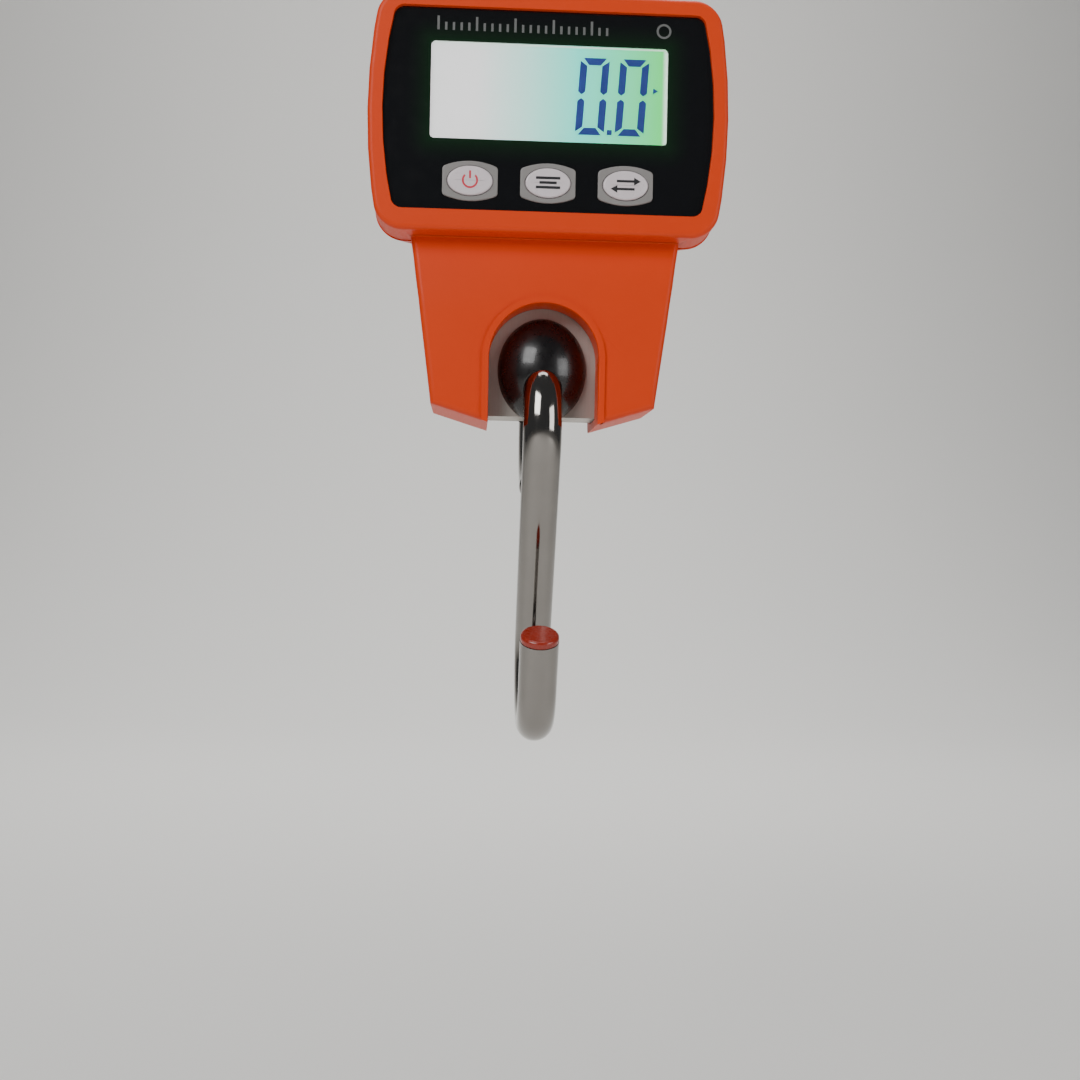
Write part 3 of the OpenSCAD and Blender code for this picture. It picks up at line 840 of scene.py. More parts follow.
@dataclass
class Casing:
    """The two moulded shells, their screws and the battery cover.

    A row of the skirt or neck gives its height, half width and front plane, from the head outwards. An end
    gives the outer and the inner corner of its slanted edge. A screw gives its distance from the middle and
    its height.
    """

    shape: Outline = field(default_factory=Outline)
    wall: float = 2.2
    head_wall: float = 2.6
    rim: float = 1.3
    back_round: float = 3.2
    apron_back: float = 14.0
    apron_round: float = 1.6
    lip_w: float = 1.7
    lip_h: float = 0.6
    pocket_depth: float = 2.2
    pocket_floor: float = 1.5
    seam: float = 0.7
    key_hole: tuple = (14.8, 11.2)
    skirt_rows: tuple = ((-120.0, 35.2, -13.4), (-124.0, 34.8, -13.8), (-129.0, 34.0, -14.5),
                         (-135.0, 33.2, -15.4), (-140.0, 32.45, -15.85), (-144.0, 31.95, -16.0),
                         (-160.0, 29.8, -15.9), (-173.0, 28.1, -15.6))
    neck_rows: tuple = ((-66.0, 31.6, -13.4), (-62.0, 31.2, -13.8), (-57.0, 30.2, -14.5),
                        (-51.0, 29.0, -15.4), (-46.0, 28.0, -15.85), (-42.0, 27.2, -16.0),
                        (-36.0, 26.0, -15.9), (-30.0, 24.9, -15.6))
    skirt_end: tuple = ((29.1, -166.7), (14.1, -171.3))
    neck_end: tuple = ((25.2, -34.3), (14.1, -30.5))
    screws: tuple = ((33.8, -70.6), (33.8, -115.4), (21.8, -159.0), (20.6, -41.0))
    screw_y: float = 2.0
    post_r: float = 3.4
    head_post_y: float = 17.4
    apron_post_y: float = 13.0
    well_r: float = 2.6
    screw_r: float = 2.3
    bay_w: float = 54.6
    bay_h: float = 35.4
    bay_y: float = 10.0
    bay_z: float = -97.5
    cover_w: float = 56.0
    cover_y: float = 18.4
    cover_top: float = -77.5
    slide_foot: float = -160.0
    tongue_w: float = 1.0
    tongue_t: float = 0.7
    slack: float = 0.15

    def apron(self, name: str, rows: Sequence[Sequence[float]], front: bool, inset: float = 0) -> Model:
        """Makes half of the skirt or the neck.

        Args:
            name: the mesh's name.
            rows: its rows.
            front: true for the front half, false for the back.
            inset: how far every wall stays inside the outer shape.

        Returns:
            The solid.
        """
        part_y, aside, steps = self.shape.part_y, 1000, len(rows) - 1
        flat = Model.grid(name, 1, 1, mm(0, 0, 0), 2, steps)
        with flat.editing(Part.VERT):
            for i, (z, half, y) in enumerate(rows):
                level = i / steps - 0.5
                flat.pick(Part.VERT, lambda c, n, level=level: abs(c.z - level) < 0.01 and abs(c.y) < 0.01)
                flat.stretch((2 * (half - inset), 1, 1), Vector((0, 0, level * MM)))
                flat.move(0, y + inset if front else part_y + 0.5, aside + z - level)
        flat.put(z=-aside)
        side = -1 if rows[-1][0] < rows[0][0] else 1
        outer, inner = self.skirt_end if side < 0 else self.neck_end
        with flat.editing():
            flat.pick_all()
            flat.extrude(y=40)
            flat.stretch((1, 0, 1), mm(0, part_y if front else self.apron_back - inset, 0))
            if not front:
                flat.pick(Part.VERT, lambda c, n: abs(c.y - part_y - 0.5) < 0.01)
                flat.stretch((1, 0, 1), mm(0, part_y, 0))
            for hand in (-1, 1):
                flat.pick_all()
                normal = Vector((outer[1] - inner[1], 0, -hand * (outer[0] - inner[0]))).normalized()
                if normal.z * side < 0:
                    normal.negate()
                bpy.ops.mesh.bisect(plane_co=mm(hand * inner[0], 0, inner[1] - side * inset),
                                    plane_no=normal, use_fill=True, clear_outer=True)
        return flat.outward()

    def outer_edge(self, c: Vector, n: Vector) -> bool:
        """Tells whether an edge runs round the front of the skirt or the neck.

        Args:
            c: its middle.
            n: its direction.

        Returns:
            True if it does.
        """
        along_side = abs(c.x) > 20 and abs(n.z) > 0.9
        along_end = abs(c.x) > 14 and abs(n.x) > 0.9 and (c.z < -160 or c.z > -38)
        return c.y < -12 and (along_side or along_end)

    def front_apron(self, low: bool) -> Model:
        """Models the front of the skirt or the neck, with a raised lip round its arch.

        Args:
            low: true for the skirt.

        Returns:
            The solid, with the arch cut out.
        """
        s = self.shape
        rows = self.skirt_rows if low else self.neck_rows
        flat = self.apron("skirt" if low else "neck", rows, True)
        flat.round_edges(self.outer_edge, self.apron_round)
        lip = s.arch("lip", low, self.lip_w, -18, s.part_y + 1)
        trim = self.apron("trim", rows, True)
        with trim.editing():
            trim.pick(Part.VERT, lambda c, n: c.y < -10)
            trim.move(y=-self.lip_h)
        flat.combine(lip.combine(trim, "INTERSECT"), "UNION").combine(s.arch("arch", low, 0, -30, 0))
        for grow, level, width in ((0, -14.5, 0.6), (self.lip_w, -16.2, 0.4)):
            flat.round_edges(lambda c, n, grow=grow, level=level: c.y < level
                             and abs(s.beside_arch(c, low) - grow) < 0.12, width)
        return flat

    def hollow(self, head: Model, front: bool) -> Model:
        """Makes the room inside one shell, which leaves a wall round each arch.

        Args:
            head: the room in the head, which the room in the skirt and the neck is added to.
            front: true for the front shell.

        Returns:
            The solid of the whole room.
        """
        s = self.shape
        for rows in (self.skirt_rows, self.neck_rows):
            room = self.apron("room", rows, front, self.wall)
            with room.editing():
                room.pick(Part.VERT, lambda c, n: abs(c.y - s.part_y) < 0.9)
                room.move(y=3 if front else -3)
            head.combine(room, "UNION")
        for low in (True, False):
            head.combine(s.arch("wall", low, self.wall, -30, 30))
        return head

    def front(self) -> Model:
        """Models the front shell, with the pocket for the panel film and a seam where the shells meet.

        Returns:
            The shell.
        """
        s = self.shape
        shell = s.head("front_shell", 0.25, s.front_y).thicken(s.part_y - s.front_y)
        shell.round_edges(lambda c, n: c.y < s.front_y + 0.1, self.rim, 5)
        for low in (True, False):
            shell.combine(self.front_apron(low), "UNION")
        shell.combine(s.head("pocket", 4.05, s.front_y - 1, 4.4, 5.6, 2.2).thicken(self.pocket_depth + 1))
        rebate = s.head("rebate", -3, s.part_y - self.seam).thicken(3)
        shell.combine(rebate.combine(s.head("rebate_core", 0.8, s.part_y - 2).thicken(6)))
        shell.round_edges(lambda c, n: c.y < s.front_y + 0.05 and abs(c.x) < 42.6 and -119 < c.z < -65,
                          0.7, 3)
        floor_y = s.front_y + self.pocket_depth + self.pocket_floor
        shell.combine(self.hollow(s.head("inner", self.head_wall, floor_y, corner=4).thicken(12), True))
        w, h = WINDOW_W / 2 + 1.8, WINDOW_H / 2 + 1.8
        shell.combine(Model.box("lcd_hole", (-w, s.front_y - 1, WINDOW_Z - h), (w, -12, WINDOW_Z + h)))
        w, h = self.key_hole[0] / 2, self.key_hole[1] / 2
        for x in s.key_places:
            hole = Model.box("key_hole", (x - w, s.front_y - 1, s.key_z - h), (x + w, -12, s.key_z + h))
            shell.combine(hole)
        return shell

    def rear(self) -> Model:
        """Models the rear shell, with its screw posts, the battery bay and the cover's rails.

        Returns:
            The shell.
        """
        s = self.shape
        shell = s.tapered("rear_shell", 0.05, s.part_y, s.back_y, s.draft)
        shell.round_edges(lambda c, n: c.y > s.back_y - 0.1, self.back_round, 5)
        for rows in (self.skirt_rows, self.neck_rows):
            flat = self.apron("apron", rows, False)
            flat.round_edges(lambda c, n: c.y > self.apron_back - 0.1 and abs(c.x) > 15, 2.2)
            shell.combine(flat, "UNION")
        for low in (True, False):
            shell.combine(s.arch("arch", low, 0, -12, 30))
        room = s.tapered("inner", self.head_wall, s.part_y - 1, 17, s.draft - 0.4)
        shell.combine(self.hollow(room, False))
        for x, z in self.screws:
            back = self.head_post_y if abs(z - s.head_z) < s.head_h / 2 else self.apron_post_y
            for hand in (-1, 1):
                shell.combine(Model.rod("post", self.post_r, s.part_y, back, hand * x, z, 32), "UNION")
                shell.combine(Model.rod("well", self.well_r, self.screw_y, 30, hand * x, z, 32))
        shell.combine(Model.box("plate_room", (-18.4, -6.9, -169.3), (18.4, 6.9, -30.5)))
        w, h, foot = self.bay_w / 2, self.bay_h / 2, self.slide_foot
        shell.combine(Model.box("bay", (-w, self.bay_y, self.bay_z - h), (w, 22, self.bay_z + h)))
        y, w = self.cover_y - self.slack, self.cover_w / 2 + self.tongue_w + self.slack
        rail_y = self.cover_y + self.tongue_t + 0.2
        shell.combine(Model.box("rail", (-w, y, foot), (w, rail_y, self.cover_top + self.slack)))
        w = self.cover_w / 2 + 2 * self.slack
        return shell.combine(Model.box("slide", (-w, y, foot), (w, 23, self.cover_top + 2 * self.slack)))

    def cover(self) -> Model:
        """Models the sliding battery cover with its grip ribs and an arrow.

        Returns:
            The cover.
        """
        s = self.shape
        body = s.tapered("battery_door", 0.05, s.part_y, s.back_y, s.draft)
        body.round_edges(lambda c, n: c.y > s.back_y - 0.1, self.back_round, 5)
        w, foot, top = self.cover_w / 2, self.slide_foot, self.cover_top
        keep = Model.box("keep", (-w, self.cover_y, foot), (w, 23, top))
        w += self.tongue_w
        tongue = Model.box("tongue", (-w, self.cover_y, foot), (w, self.cover_y + self.tongue_t, top))
        body.combine(keep.combine(tongue, "UNION"), "INTERSECT")
        for i in range(5):
            z = -86.3 - 2.2 * i
            body.combine(Model.box("groove", (-9, s.back_y - 0.45, z), (9, 22, z + 1)).soften(0.3, 3))
        body.soften(0.25)
        arrow = Model.circle("arrow", 3.6, mm(0, s.back_y - 0.4, -101.5), 3, (math.pi / 2, math.pi, 0), True)
        return body.combine(arrow.thicken(2))

    def screw(self) -> Model:
        """Models one cross-head screw on the origin's axis.

        Returns:
            The screw.
        """
        head = Model.rod("head", self.screw_r, self.screw_y, self.screw_y + 1.8, sides=48)
        head.round_edges(lambda c, n: c.y > self.screw_y + 1.7, 0.7)
        for w, h in ((0.45, 1.5), (1.5, 0.45)):
            head.combine(Model.box("cross", (-w, self.screw_y + 0.9, -h), (w, 5, h)))
        return Model.joined("screw", [head, Model.rod("shank", 1.25, -13.4, self.screw_y + 0.1, sides=24)])

    def build(self) -> None:
        """Builds and dresses the shells, the cover and the screws."""
        self.front().soften(0.3, angle=48).settle(ORANGE_ABS, "casing", "front_shell")
        self.rear().soften(0.3, angle=48).settle(ORANGE_ABS, "casing", "rear_shell")
        self.cover().settle(ORANGE_ABS, "battery_door", "battery_cover")
        screw = self.screw()
        screws = [screw.copy("screw", hand * x, 0, z) for x, z in self.screws for hand in (-1, 1)]
        bpy.data.objects.remove(screw.piece)
        Model.joined("shell_screws", screws).settle(ZINC, "casing", "shell_screws")


@dataclass
class Display:
    """The glossy panel with its window, the lit cell and its digits. The digits lean to the right."""

    shape: Outline = field(default_factory=Outline)
    panel_y: float = -18.8
    digit_y: float = -17.72
    digit_h: float = 19.7
    digit_w: float = 7.5
    digit_places: tuple = (11.0, 21.2)
    bar: float = 1.85
    slant: float = 0.065
    print_t: float = 0.05
    rule_x: float = -28.5
    rule_z: float = -72.4
    rule_step: float = 1.95
    rule_marks: int = 23

    def panel(self) -> Model:
        """Models the panel film with its window and key openings.

        Returns:
            The film.
        """
        s = self.shape
        film = s.head("front_panel", 4.15, self.panel_y, 4.5, 5.7, 2.1).thicken(1)
        w, h = WINDOW_W / 2, WINDOW_H / 2
        hole = Model.box("hole", (-w, -25, WINDOW_Z - h), (w, -10, WINDOW_Z + h))
        film.combine(hole.round_edges(lambda c, n: abs(n.y) > 0.9, 1.0))
        for x in s.key_places:
            film.combine(Model.rod("oval", 1, -25, -10, sides=48).put(x, 0, s.key_z, (6.6, 1, 4.6)))
        return film.soften(0.15)

    def upright(self, x: float, hand: int, row: int) -> Model:
        """Makes one upright bar of a digit, slanted where it meets the level bar and pointed at its far end.

        Args:
            x: the digit's middle.
            hand: -1 for the left bar, 1 for the right.
            row: -1 for the lower bar, 1 for the upper.

        Returns:
            The bar, flat.
        """
        point = 0.75
        end, length = self.digit_h / 2 - point, self.digit_h / 2 - 1.95
        x += hand * (self.digit_w - self.bar) / 2
        bar = Model.grid("bar", self.bar, length, mm(x, 0, row * (end - length / 2)), 2, 1)
        with bar.editing(Part.VERT):
            bar.pick(Part.VERT, lambda c, n: abs(c.x - x) < 0.1 and c.z * row < 3)
            bar.move(z=-row * point)
            for share, drop in ((0, 0.65), (-1, 1.3)):
                column = x + share * hand * self.bar / 2
                bar.pick(Part.VERT, lambda c, n, column=column: abs(c.x - column) < 0.1 and c.z * row > 5)
                bar.move(z=-row * drop)
        return bar

    def level(self, x: float, row: int) -> Model:
        """Makes one level bar of a digit, shorter on its inner side.

        Args:
            x: the digit's middle.
            row: -1 for the foot, 1 for the top.

        Returns:
            The bar, flat.
        """
        z = row * (self.digit_h - self.bar) / 2
        bar = Model.grid("bar", self.digit_w - 1.5, self.bar, mm(x, 0, z))
        with bar.editing(Part.VERT):
            bar.pick(Part.VERT, lambda c, n: (c.z - z) * row < 0)
            bar.stretch((0.5, 1, 1), mm(x, 0, z))
        return bar

    def digits(self) -> Model:
        """Models the slanted digits, the point and the small pointer.

        Returns:
            The digits as one thin solid.
        """
        bars = []
        for x in self.digit_places:
            for row in (-1, 1):
                bars += [self.level(x, row), self.upright(x, -1, row), self.upright(x, 1, row)]
        bars.append(Model.grid("point", 1.3, 1.3, mm(16.1, 0, 0.8 - self.digit_h / 2)))
        bars.append(Model.circle("pointer", 0.9, mm(26.9, 0, 1.9), 3, (math.pi / 2, math.pi / 2, 0), True))
        digits = Model.joined("lcd_digits", bars)
        lean = Matrix.Identity(4)
        lean[0][2] = self.slant
        digits.piece.data.transform(lean)
        return digits.put(0, self.digit_y, WINDOW_Z - 0.2).thicken(self.print_t)

    def marks(self) -> Model:
        """Models a plain graduated rule and a small ring printed above the window.

        Returns:
            The print as thin solids.
        """
        y = self.panel_y - 0.03
        bars = []
        for i in range(self.rule_marks):
            x, height = self.rule_x + self.rule_step * i, 3.5 if i % 5 == 0 else 2.0
            bars.append(Model.box("bar", (x - 0.3, y, self.rule_z),
                                  (x + 0.3, y + self.print_t, self.rule_z + height)))
        bars.append(Model.washer("ring", 1.9, 0.72, mm(29, y, -70.7)).thicken(self.print_t))
        return Model.joined("panel_marks", bars)

    def slab(self, name: str, grow: float, y0: float, y1: float) -> Model:
        """Starts a block in the window's outline."""
        w, h = WINDOW_W / 2 + grow, WINDOW_H / 2 + grow
        return Model.box(name, (-w, y0, WINDOW_Z - h), (w, y1, WINDOW_Z + h))

    def build(self) -> None:
        """Builds and dresses the display."""
        self.panel().settle(BLACK_FILM, "casing", "front_panel")
        pane = self.slab("display_window", -0.1, self.panel_y, -18.0)
        pane.round_edges(lambda c, n: abs(n.y) > 0.9, 0.9).soften(0.12)
        pane.settle(CLEAR, "casing", "display_window")
        self.slab("lcd_glass", 1.6, -17.65, -15.7).soften(0.2).settle(LIT_CELL, "casing", "lcd_glass")
        self.digits().settle(SEGMENT_INK, "casing")
        self.marks().settle(PALE_INK, "casing")


@dataclass
class Keys:
    """The three oval buttons and their grey surrounds."""

    shape: Outline = field(default_factory=Outline)
    w: float = 11.5
    h: float = 7.5
    rim_w: float = 2.6
    rim_h: float = 2.7
    rim_y: float = -19.35
    rim_t: float = 0.6
    arch: float = 1.5
    face_y: float = -19.9
    flange_y: float = -17.3

    def surround(self, x: float) -> Model:
        """Models one surround: straight sides, arched top and foot.

        Args:
            x: the key's place.

        Returns:
            The surround, with its opening.
        """
        z, across = self.shape.key_z, 10
        half_w, half_h = (self.w + self.rim_w) / 2, (self.h + self.rim_h) / 2
        flat = Model.grid("surround", 2 * half_w, 2 * half_h, mm(x, self.rim_y, z), across, 1)
        with flat.editing(Part.VERT):
            for i in range(across + 1):
                t = 2 * i / across - 1
                level = x + t * half_w
                flat.pick(Part.VERT, lambda c, n, level=level: abs(c.x - level) < 0.05)
                flat.stretch((1, 1, (half_h - self.arch * t * t) / half_h), mm(x, 0, z))
            flat.pick(Part.VERT, lambda c, n: abs(abs(c.x - x) - half_w) < 0.05)
            bpy.ops.mesh.bevel(offset=0.7 * MM, segments=4, affect="VERTICES")
            flat.dissolve()
        flat.thicken(self.rim_t).round_edges(lambda c, n: c.y < self.rim_y + 0.05, 0.3, 3)
        hole = (self.w / 2 + 0.15, 1, self.h / 2 + 0.15)
        return flat.combine(Model.rod("oval", 1, -25, -10).put(x, 0, z, hole)).soften(0.12)

    def cap(self, name: str, x: float) -> Model:
        """Models one button cap with a pillowed face, its flange and stem.

        Args:
            name: the cap's name.
            x: the key's place.

        Returns:
            The cap.
        """
        w, h, stem_y = self.w / 2, self.h / 2, self.flange_y + 0.8
        cap = Model.rod(name, w, self.face_y, self.flange_y, sides=72).put(size=(1, 1, h / w))
        with cap.editing():
            cap.pick(Part.FACE, lambda c, n: n.y < -0.9)
            for step in (0.5, 0.9, 1.2):
                bpy.ops.mesh.inset(thickness=step * MM)
        cap.round_edges(lambda c, n: abs(c.y - self.face_y) < 0.01
                        and math.hypot(c.x / w, c.z / h) > 0.97, 0.55, 5)
        flange = Model.rod("flange", w + 0.85, self.flange_y, stem_y, sides=48)
        flange.put(size=(1, 1, (h + 0.85) / (w + 0.85)))
        stem = Model.rod("stem", 2, stem_y, stem_y + 1.2, sides=24)
        return Model.joined(name, [cap, flange, stem]).put(x, 0, self.shape.key_z)

    def sign(self, glyph: Glyph, x: float) -> Model:
        """Models one printed sign.

        Args:
            glyph: which sign.
            x: the key's place.

        Returns:
            The sign as a thin solid.
        """
        if glyph is Glyph.POWER:
            ring = Model.washer("ring", 2.05, 0.76, mm(0, 0, 0))
            with ring.editing():
                ring.pick(Part.FACE, lambda c, n: c.z > 1.35)
                bpy.ops.mesh.delete(type="FACE")
            bars = [ring, Model.grid("stroke", 0.5, 2.0, mm(0, 0, 1.45))]
        elif glyph is Glyph.HOLD:
            bars = [Model.grid("bar", w, 0.68, mm(0, 0, z)) for w, z in ((6.2, 1.2), (4.4, 0.0), (6.2, -1.2))]
        else:
            bars = []
            for hand in (-1, 1):
                turn = (math.pi / 2, hand * math.pi / 2, 0)
                bars.append(Model.circle("head", 1.15, mm(hand * 2.7, 0, hand), 3, turn, True))
                bars.append(Model.grid("shaft", 4.6, 0.62, mm(0, 0, hand)))
        sign = Model.joined(f"{glyph.value}_sign", bars)
        return sign.put(x, self.face_y - 0.03, self.shape.key_z).thicken(0.05)

    def build(self) -> None:
        """Builds and dresses the buttons."""
        places = self.shape.key_places
        rims = Model.joined("button_surrounds", [self.surround(x) for x in places])
        rims.settle(GREY_TRIM, "casing", "button_surrounds")
        for glyph, x in zip(Glyph, places):
            key, body = f"{glyph.value}_key", f"{glyph.value}_button"
            self.cap(key, x).settle(WHITE_KEY, body, key)
            self.sign(glyph, x).settle(RED_INK if glyph is Glyph.POWER else BLACK_INK, body)


@dataclass
class Steelwork:
    """The bent rod parts, their bushes, the tip cap and the sensing plate."""

    shape: Outline = field(default_factory=Outline)
    rod_r: float = 5.0
    bend: float = 16.0
    rise: float = 0.5
    bowl_z: float = -234.1
    tip_lean: float = 25.0
    tip_length: float = 17.6
    cap_t: float = 2.0
    slack: float = 0.06
    bore_r: float = 8.5
    plate_w: float = 36.0
    plate_t: float = 13.0

    def profile(self, name: str, y: float, z: float, lean: float) -> Model:
        """Starts a rod from an open circle whose axis leans from +Z towards +Y by lean degrees."""
        return Model.circle(name, self.rod_r, mm(0, y, z), 48, (-math.radians(lean), 0, 0))

    def ring(self) -> Model:
        """Models the closed hanging ring.

        Returns:
            The ring.
        """
        foot = self.shape.high_bore_z - self.rise + self.bend
        crown = self.rod_r - self.bend
        ring = self.profile("hanging_ring", self.bend, foot, 0)
        with ring.editing(Part.EDGE):
            ring.pick_all()
            for start, end in ((foot, crown), (crown, foot)):
                ring.extrude(z=end - start)
                bpy.ops.mesh.spin(steps=32, angle=-math.pi, center=mm(0, 0, end), axis=(1, 0, 0))
        return ring.outward()

    def tip_places(self) -> tuple[Vector, Vector]:
        """Works out where the hook's bowl ends and where its bare tip ends.

        Returns:
            The two places in millimetres.
        """
        lean = math.radians(self.tip_lean)
        root = Vector((0, -self.bend * math.cos(lean), self.bowl_z - self.bend * math.sin(lean)))
        return root, root + (self.tip_length - self.cap_t) * Vector((0, -math.sin(lean), math.cos(lean)))

    def hook(self) -> Model:
        """Models the load hook from its tip to the end of its eye.

        Returns:
            The hook.
        """
        eye = self.shape.low_bore_z + self.rise - self.bend
        r = self.bend
        lean = math.asin(2 * r / (eye - self.bowl_z))
        root, end = self.tip_places()
        hook = self.profile("hook_rod", end.y, end.z, -self.tip_lean)
        gap = math.acos(1 - 2 * self.rod_r / r) + math.radians(3)
        length = math.hypot(2 * r * math.cos(lean), eye - self.bowl_z - 2 * r * math.sin(lean))
        bowl = math.pi + lean - math.radians(self.tip_lean)
        with hook.editing(Part.EDGE):
            hook.pick_all()
            hook.extrude(y=root.y - end.y, z=root.z - end.z)
            bpy.ops.mesh.spin(steps=36, angle=-bowl, center=mm(0, 0, self.bowl_z), axis=(1, 0, 0))
            hook.extrude(y=-length * math.sin(lean), z=length * math.cos(lean))
            bpy.ops.mesh.spin(steps=52, angle=2 * math.pi - gap, center=mm(0, 0, eye), axis=(1, 0, 0))
            bpy.ops.mesh.edge_face_add()
            bpy.ops.mesh.bevel(offset=0.9 * MM, segments=4)
            hook.pick_all()
            bpy.ops.mesh.fill_holes(sides=0)
        return hook.outward()

    def tip(self) -> Model:
        """Models the cap on the hook's tip, with a fine groove where it meets the rod.

        Returns:
            The cap.
        """
        cap = Model("hook_tip_cap", bpy.ops.mesh.primitive_cylinder_add, mm(0, 0, self.cap_t / 2),
                    vertices=64, radius=(self.rod_r - self.slack) * MM, depth=self.cap_t * MM)
        cap.round_edges(lambda c, n: c.z > self.cap_t - 0.05, 0.9, 5)
        cap.round_edges(lambda c, n: c.z < 0.05, 0.3, 3)
        cap.piece.data.transform(Matrix.Rotation(math.radians(self.tip_lean), 4, "X"))
        return cap.put(*self.tip_places()[1])

    def bush(self, name: str, bore_z: float, out: int) -> Model:
        """Models the front half of a bush with its channel for the rod.

        Args:
            name: the piece's name.
            bore_z: height of its bore.
            out: 1 for the upper bush, -1 for the lower.

        Returns:
            The half.
        """
        dome = Model(name, bpy.ops.mesh.primitive_uv_sphere_add, mm(0, 0, 0), segments=96, ring_count=48,
                     radius=MM)
        dome.put(0, -4, bore_z + out, (12, 12, 14.1))
        dome.combine(Model.box("rest", (-30, -6.7, bore_z - 30), (30, 30, bore_z + 30)))
        dome.combine(Model.rod("journal", self.bore_r - 0.05, -6.8, -0.05, 0, bore_z, 96), "UNION")
        channel = Model("channel", bpy.ops.mesh.primitive_torus_add,
                        mm(0, 0, bore_z + out * (self.bend - self.rise)), major_radius=self.bend * MM,
                        minor_radius=(self.rod_r + self.slack) * MM, major_segments=120, minor_segments=48,
                        rotation=(0, math.pi / 2, 0))
        return dome.combine(channel).soften(0.2)

    def plate(self) -> Model:
        """Models the milled sensing plate, with two bores, the middle bore and the cuts that make it bend.

        Returns:
            The plate.
        """
        s = self.shape
        w, t = self.plate_w / 2, self.plate_t / 2
        plate = Model.box("load_cell", (-w, -t, s.low_bore_z - 13.1), (w, t, s.high_bore_z + 13.1))
        plate.round_edges(lambda c, n: abs(n.y) > 0.9, 1.2)
        for r, z in ((self.bore_r, s.low_bore_z), (self.bore_r, s.high_bore_z), (8, s.head_z - 8)):
            plate.combine(Model.rod("bore", r, -20, 20, 0, z, 96))
        plate.combine(Model.box("upper_cut", (-30, -20, s.head_z + 5), (9, 20, s.head_z + 7.5)))
        plate.combine(Model.box("lower_cut", (-9, -20, s.head_z - 23.5), (30, 20, s.head_z - 21)))
        for x in (-12, 12):
            plate.combine(Model.rod("hole", 1.5, -20, 20, x, s.head_z + 22, 32))
            plate.combine(Model.rod("seat", 2.7, -20, -4.5, x, s.head_z + 22, 32))
        return plate.soften(0.4)

    def build(self) -> None:
        """Builds and dresses the steelwork."""
        s = self.shape
        self.plate().settle(ALUMINIUM, "casing", "load_cell")
        # The chrome's colour is darkened, a painted shade for the dark room it reflects.
        self.ring().settle(CHROME_PAINTED_SHADE, "ring", "hanging_ring")
        self.hook().settle(CHROME_PAINTED_SHADE, "hook", "hook_rod")
        # The cap's red is a painted reflection of the orange casing.
        self.tip().settle(CAP_RED_PAINTED_REFLECTION, "hook", "hook_tip_cap")
        for body, z, out in (("hook_bush", s.low_bore_z, -1), ("ring_bush", s.high_bore_z, 1)):
            front = self.bush(f"{body}_front", z, out)
            rear = front.turned_back(f"{body}_rear")
            front.settle(BLACK_ACETAL, body, f"{body}_front")
            rear.settle(BLACK_ACETAL, body, f"{body}_rear")


@dataclass
class Batteries:
    """The three cells in their bay: sleeve, band, steel button and steel foot on each.

    The parts are given for one cell whose plus end is at x = half: radius, start, end and rounding.
    """

    radius: float = 5.2
    half: float = 22.25
    pitch: float = 11.3
    y: float = 13.15
    z: float = -97.5

    def drum(self, r: float, x0: float, x1: float, row: int, rounding: float) -> Model:
        """Makes one part of a cell, a round-edged drum along X.

        Args:
            r: its radius.
            x0: its start.
            x1: its end, nearer the plus end.
            row: -1, 0 or 1 for the lower, the middle or the upper cell. The middle one is turned round.
            rounding: the rounding of its edges.

        Returns:
            The drum.
        """
        hand = -1 if row == 0 else 1
        place = mm(hand * (x0 + x1) / 2, self.y, self.z + row * self.pitch)
        drum = Model("drum", bpy.ops.mesh.primitive_cylinder_add, place, vertices=56, radius=r * MM,
                     depth=(x1 - x0) * MM, rotation=(0, math.pi / 2, 0))
        return drum.round_edges(lambda c, n: abs(n.x) < 0.5, rounding, 3)

    def build(self) -> None:
        """Builds and dresses the cells."""
        half = self.half
        sleeve = ((self.radius, -half, half - 0.9, 0.5),)
        band = ((self.radius + 0.03, half - 11, half - 1.6, 0.05),)
        ends = ((1.9, half - 1.2, half + 0.2, 0.3), (3.6, half - 1.5, half - 0.7, 0.2),
                (4.1, -half - 0.04, 1 - half, 0.1))
        for name, finish, parts, nodes in (("battery_cells", SLEEVE, sleeve, ["battery_cells"]),
                                           ("battery_bands", GOLD_BAND, band, []),
                                           ("battery_ends", ZINC, ends, [])):
            drums = [self.drum(r, x0, x1, row, rounding)
                     for row in (-1, 0, 1) for r, x0, x1, rounding in parts]
            Model.joined(name, drums).settle(finish, "casing", *nodes)


@dataclass
class Inside:
    """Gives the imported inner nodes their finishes."""

    finishes: dict = field(default_factory=lambda: {
        "lcd_backlight": DIFFUSER, "lcd_frame": DARK_NYLON, "display_ribbon": POLYIMIDE,
        "circuit_board": BOARD_MASK, "board_components": DARK_NYLON, "board_screws": ZINC,
        "tact_switches": DARK_NYLON, "strain_gauges": POLYIMIDE, "gauge_sealant": SILICONE,
        "gauge_lead": SILICONE, "load_cell_screws": ZINC, "battery_tray": DARK_NYLON,
        "battery_springs": ZINC, "battery_contacts": ZINC, "power_plunger": DARK_NYLON,
        "hold_plunger": DARK_NYLON, "unit_plunger": DARK_NYLON})

    def build(self, nodes: dict[str, bpy.types.Object]) -> None:
        """Dresses the nodes.

        Args:
            nodes: the frame's own objects by name.
        """
        for name, finish in self.finishes.items():
            nodes[name].data.materials.clear()
            nodes[name].data.materials.append(finish.material())
            LOG.info("%s: %s", name, finish.name)


@dataclass(frozen=True)
class Lamp:
    """A soft square lamp. Place and size are in millimetres, power in watts."""

    name: str
    place: tuple[float, float, float]
    size: float
    power: float
    target: tuple[float, float, float] = (0.0, 0.0, -140.0)


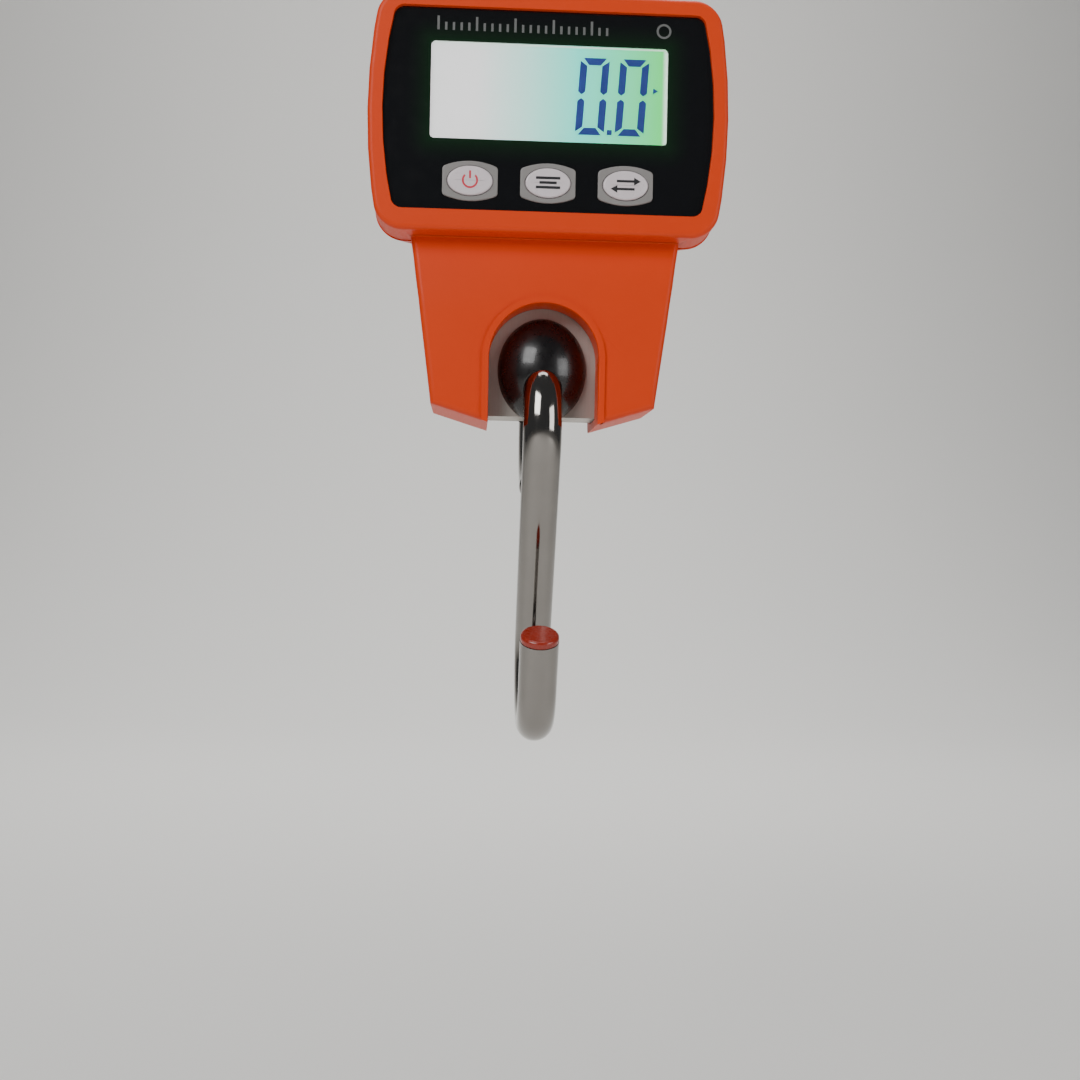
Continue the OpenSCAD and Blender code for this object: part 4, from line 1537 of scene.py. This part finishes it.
@dataclass
class Studio:
    """A pale floor that curves up into a backdrop, soft lights and the camera. Angles are in degrees."""

    lens: float = 43.4
    camera: tuple = (-17.6, -349.8, -201.3)
    azimuth: float = -3.0
    roll: float = 1.1
    floor_z: float = -420.0
    floor_w: float = 5000.0
    backdrop_h: float = 2600.0
    sweep: float = 1400.0
    sky: str = "dfe2e6"
    sky_light: float = 0.12
    sky_seen: float = 0.62
    lamps: tuple = (Lamp("key_lamp", (-600, -800, 400), 600, 9), Lamp("fill_lamp", (800, -600, 0), 500, 3.5),
                    Lamp("top_lamp", (0, 150, 800), 700, 7),
                    Lamp("wall_lamp", (0, 900, 900), 1500, 22, (0, 2500, -100)))

    def floor(self) -> None:
        """Models the floor and its sweep."""
        back = self.floor_w / 2 - 100
        floor = Model("studio_floor", bpy.ops.mesh.primitive_grid_add, mm(0, 0, self.floor_z),
                      size=self.floor_w * MM, x_subdivisions=2, y_subdivisions=2)
        with floor.editing(Part.EDGE):
            floor.pick(Part.EDGE, lambda c, n: c.y > back and abs(n.x) > 0.9)
            floor.extrude(z=self.backdrop_h)
            floor.pick(Part.EDGE, lambda c, n: c.y > back and abs(n.x) > 0.9 and abs(c.z - self.floor_z) < 1)
            bpy.ops.mesh.bevel(offset=self.sweep * MM, segments=24)
        alone(floor.piece)
        bpy.ops.object.shade_smooth_by_angle(angle=math.radians(40))
        floor.piece.data.materials.append(PAPER.material())

    def light(self, lamp: Lamp) -> None:
        """Adds one lamp, which faces its target.

        Args:
            lamp: the lamp.
        """
        bpy.ops.object.select_all(action="DESELECT")
        bpy.ops.object.light_add(type="AREA", location=mm(*lamp.place))
        made = bpy.context.active_object
        made.name = lamp.name
        made.data.size = lamp.size * MM
        made.data.energy = lamp.power
        made.rotation_euler = (mm(*lamp.target) - mm(*lamp.place)).to_track_quat("-Z", "Y").to_euler()

    def air(self) -> None:
        """Adds the sky: pale where the camera sees it, and dim where it lights the object."""
        world = bpy.data.worlds.new("studio_sky")
        world.use_nodes = True
        tree = world.node_tree
        sky = tree.nodes["Background"]
        sky.inputs["Color"].default_value = linear(self.sky)
        seen = add_node(tree, "LightPath")
        strength = add_node(tree, "MapRange", {"To Min": self.sky_light, "To Max": self.sky_seen},
                            Value=seen.outputs["Is Camera Ray"])
        tree.links.new(strength.outputs["Result"], sky.inputs["Strength"])
        bpy.context.scene.world = world

    def view(self) -> None:
        """Adds the camera, which looks level and is rolled a little."""
        bpy.ops.object.select_all(action="DESELECT")
        bpy.ops.object.camera_add(location=mm(*self.camera))
        camera = bpy.context.active_object
        camera.data.lens = self.lens
        camera.data.sensor_width = 36
        camera.data.clip_start = 0.01
        turn = Matrix.Rotation(math.radians(self.azimuth), 4, "Z") @ Matrix.Rotation(math.pi / 2, 4, "X")
        camera.rotation_euler = (turn @ Matrix.Rotation(math.radians(self.roll), 4, "Z")).to_euler()
        bpy.context.scene.camera = camera

    def build(self) -> None:
        """Builds the floor, the lamps, the sky and the camera."""
        self.floor()
        for lamp in self.lamps:
            self.light(lamp)
        self.air()
        self.view()


def main() -> None:
    """Builds the scene."""
    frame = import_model()
    Studio().build()
    for sub_assembly in (Casing(), Display(), Keys(), Steelwork(), Batteries()):
        sub_assembly.build()
    Inside().build(frame["nodes"])


if __name__ == "__main__":
    main()
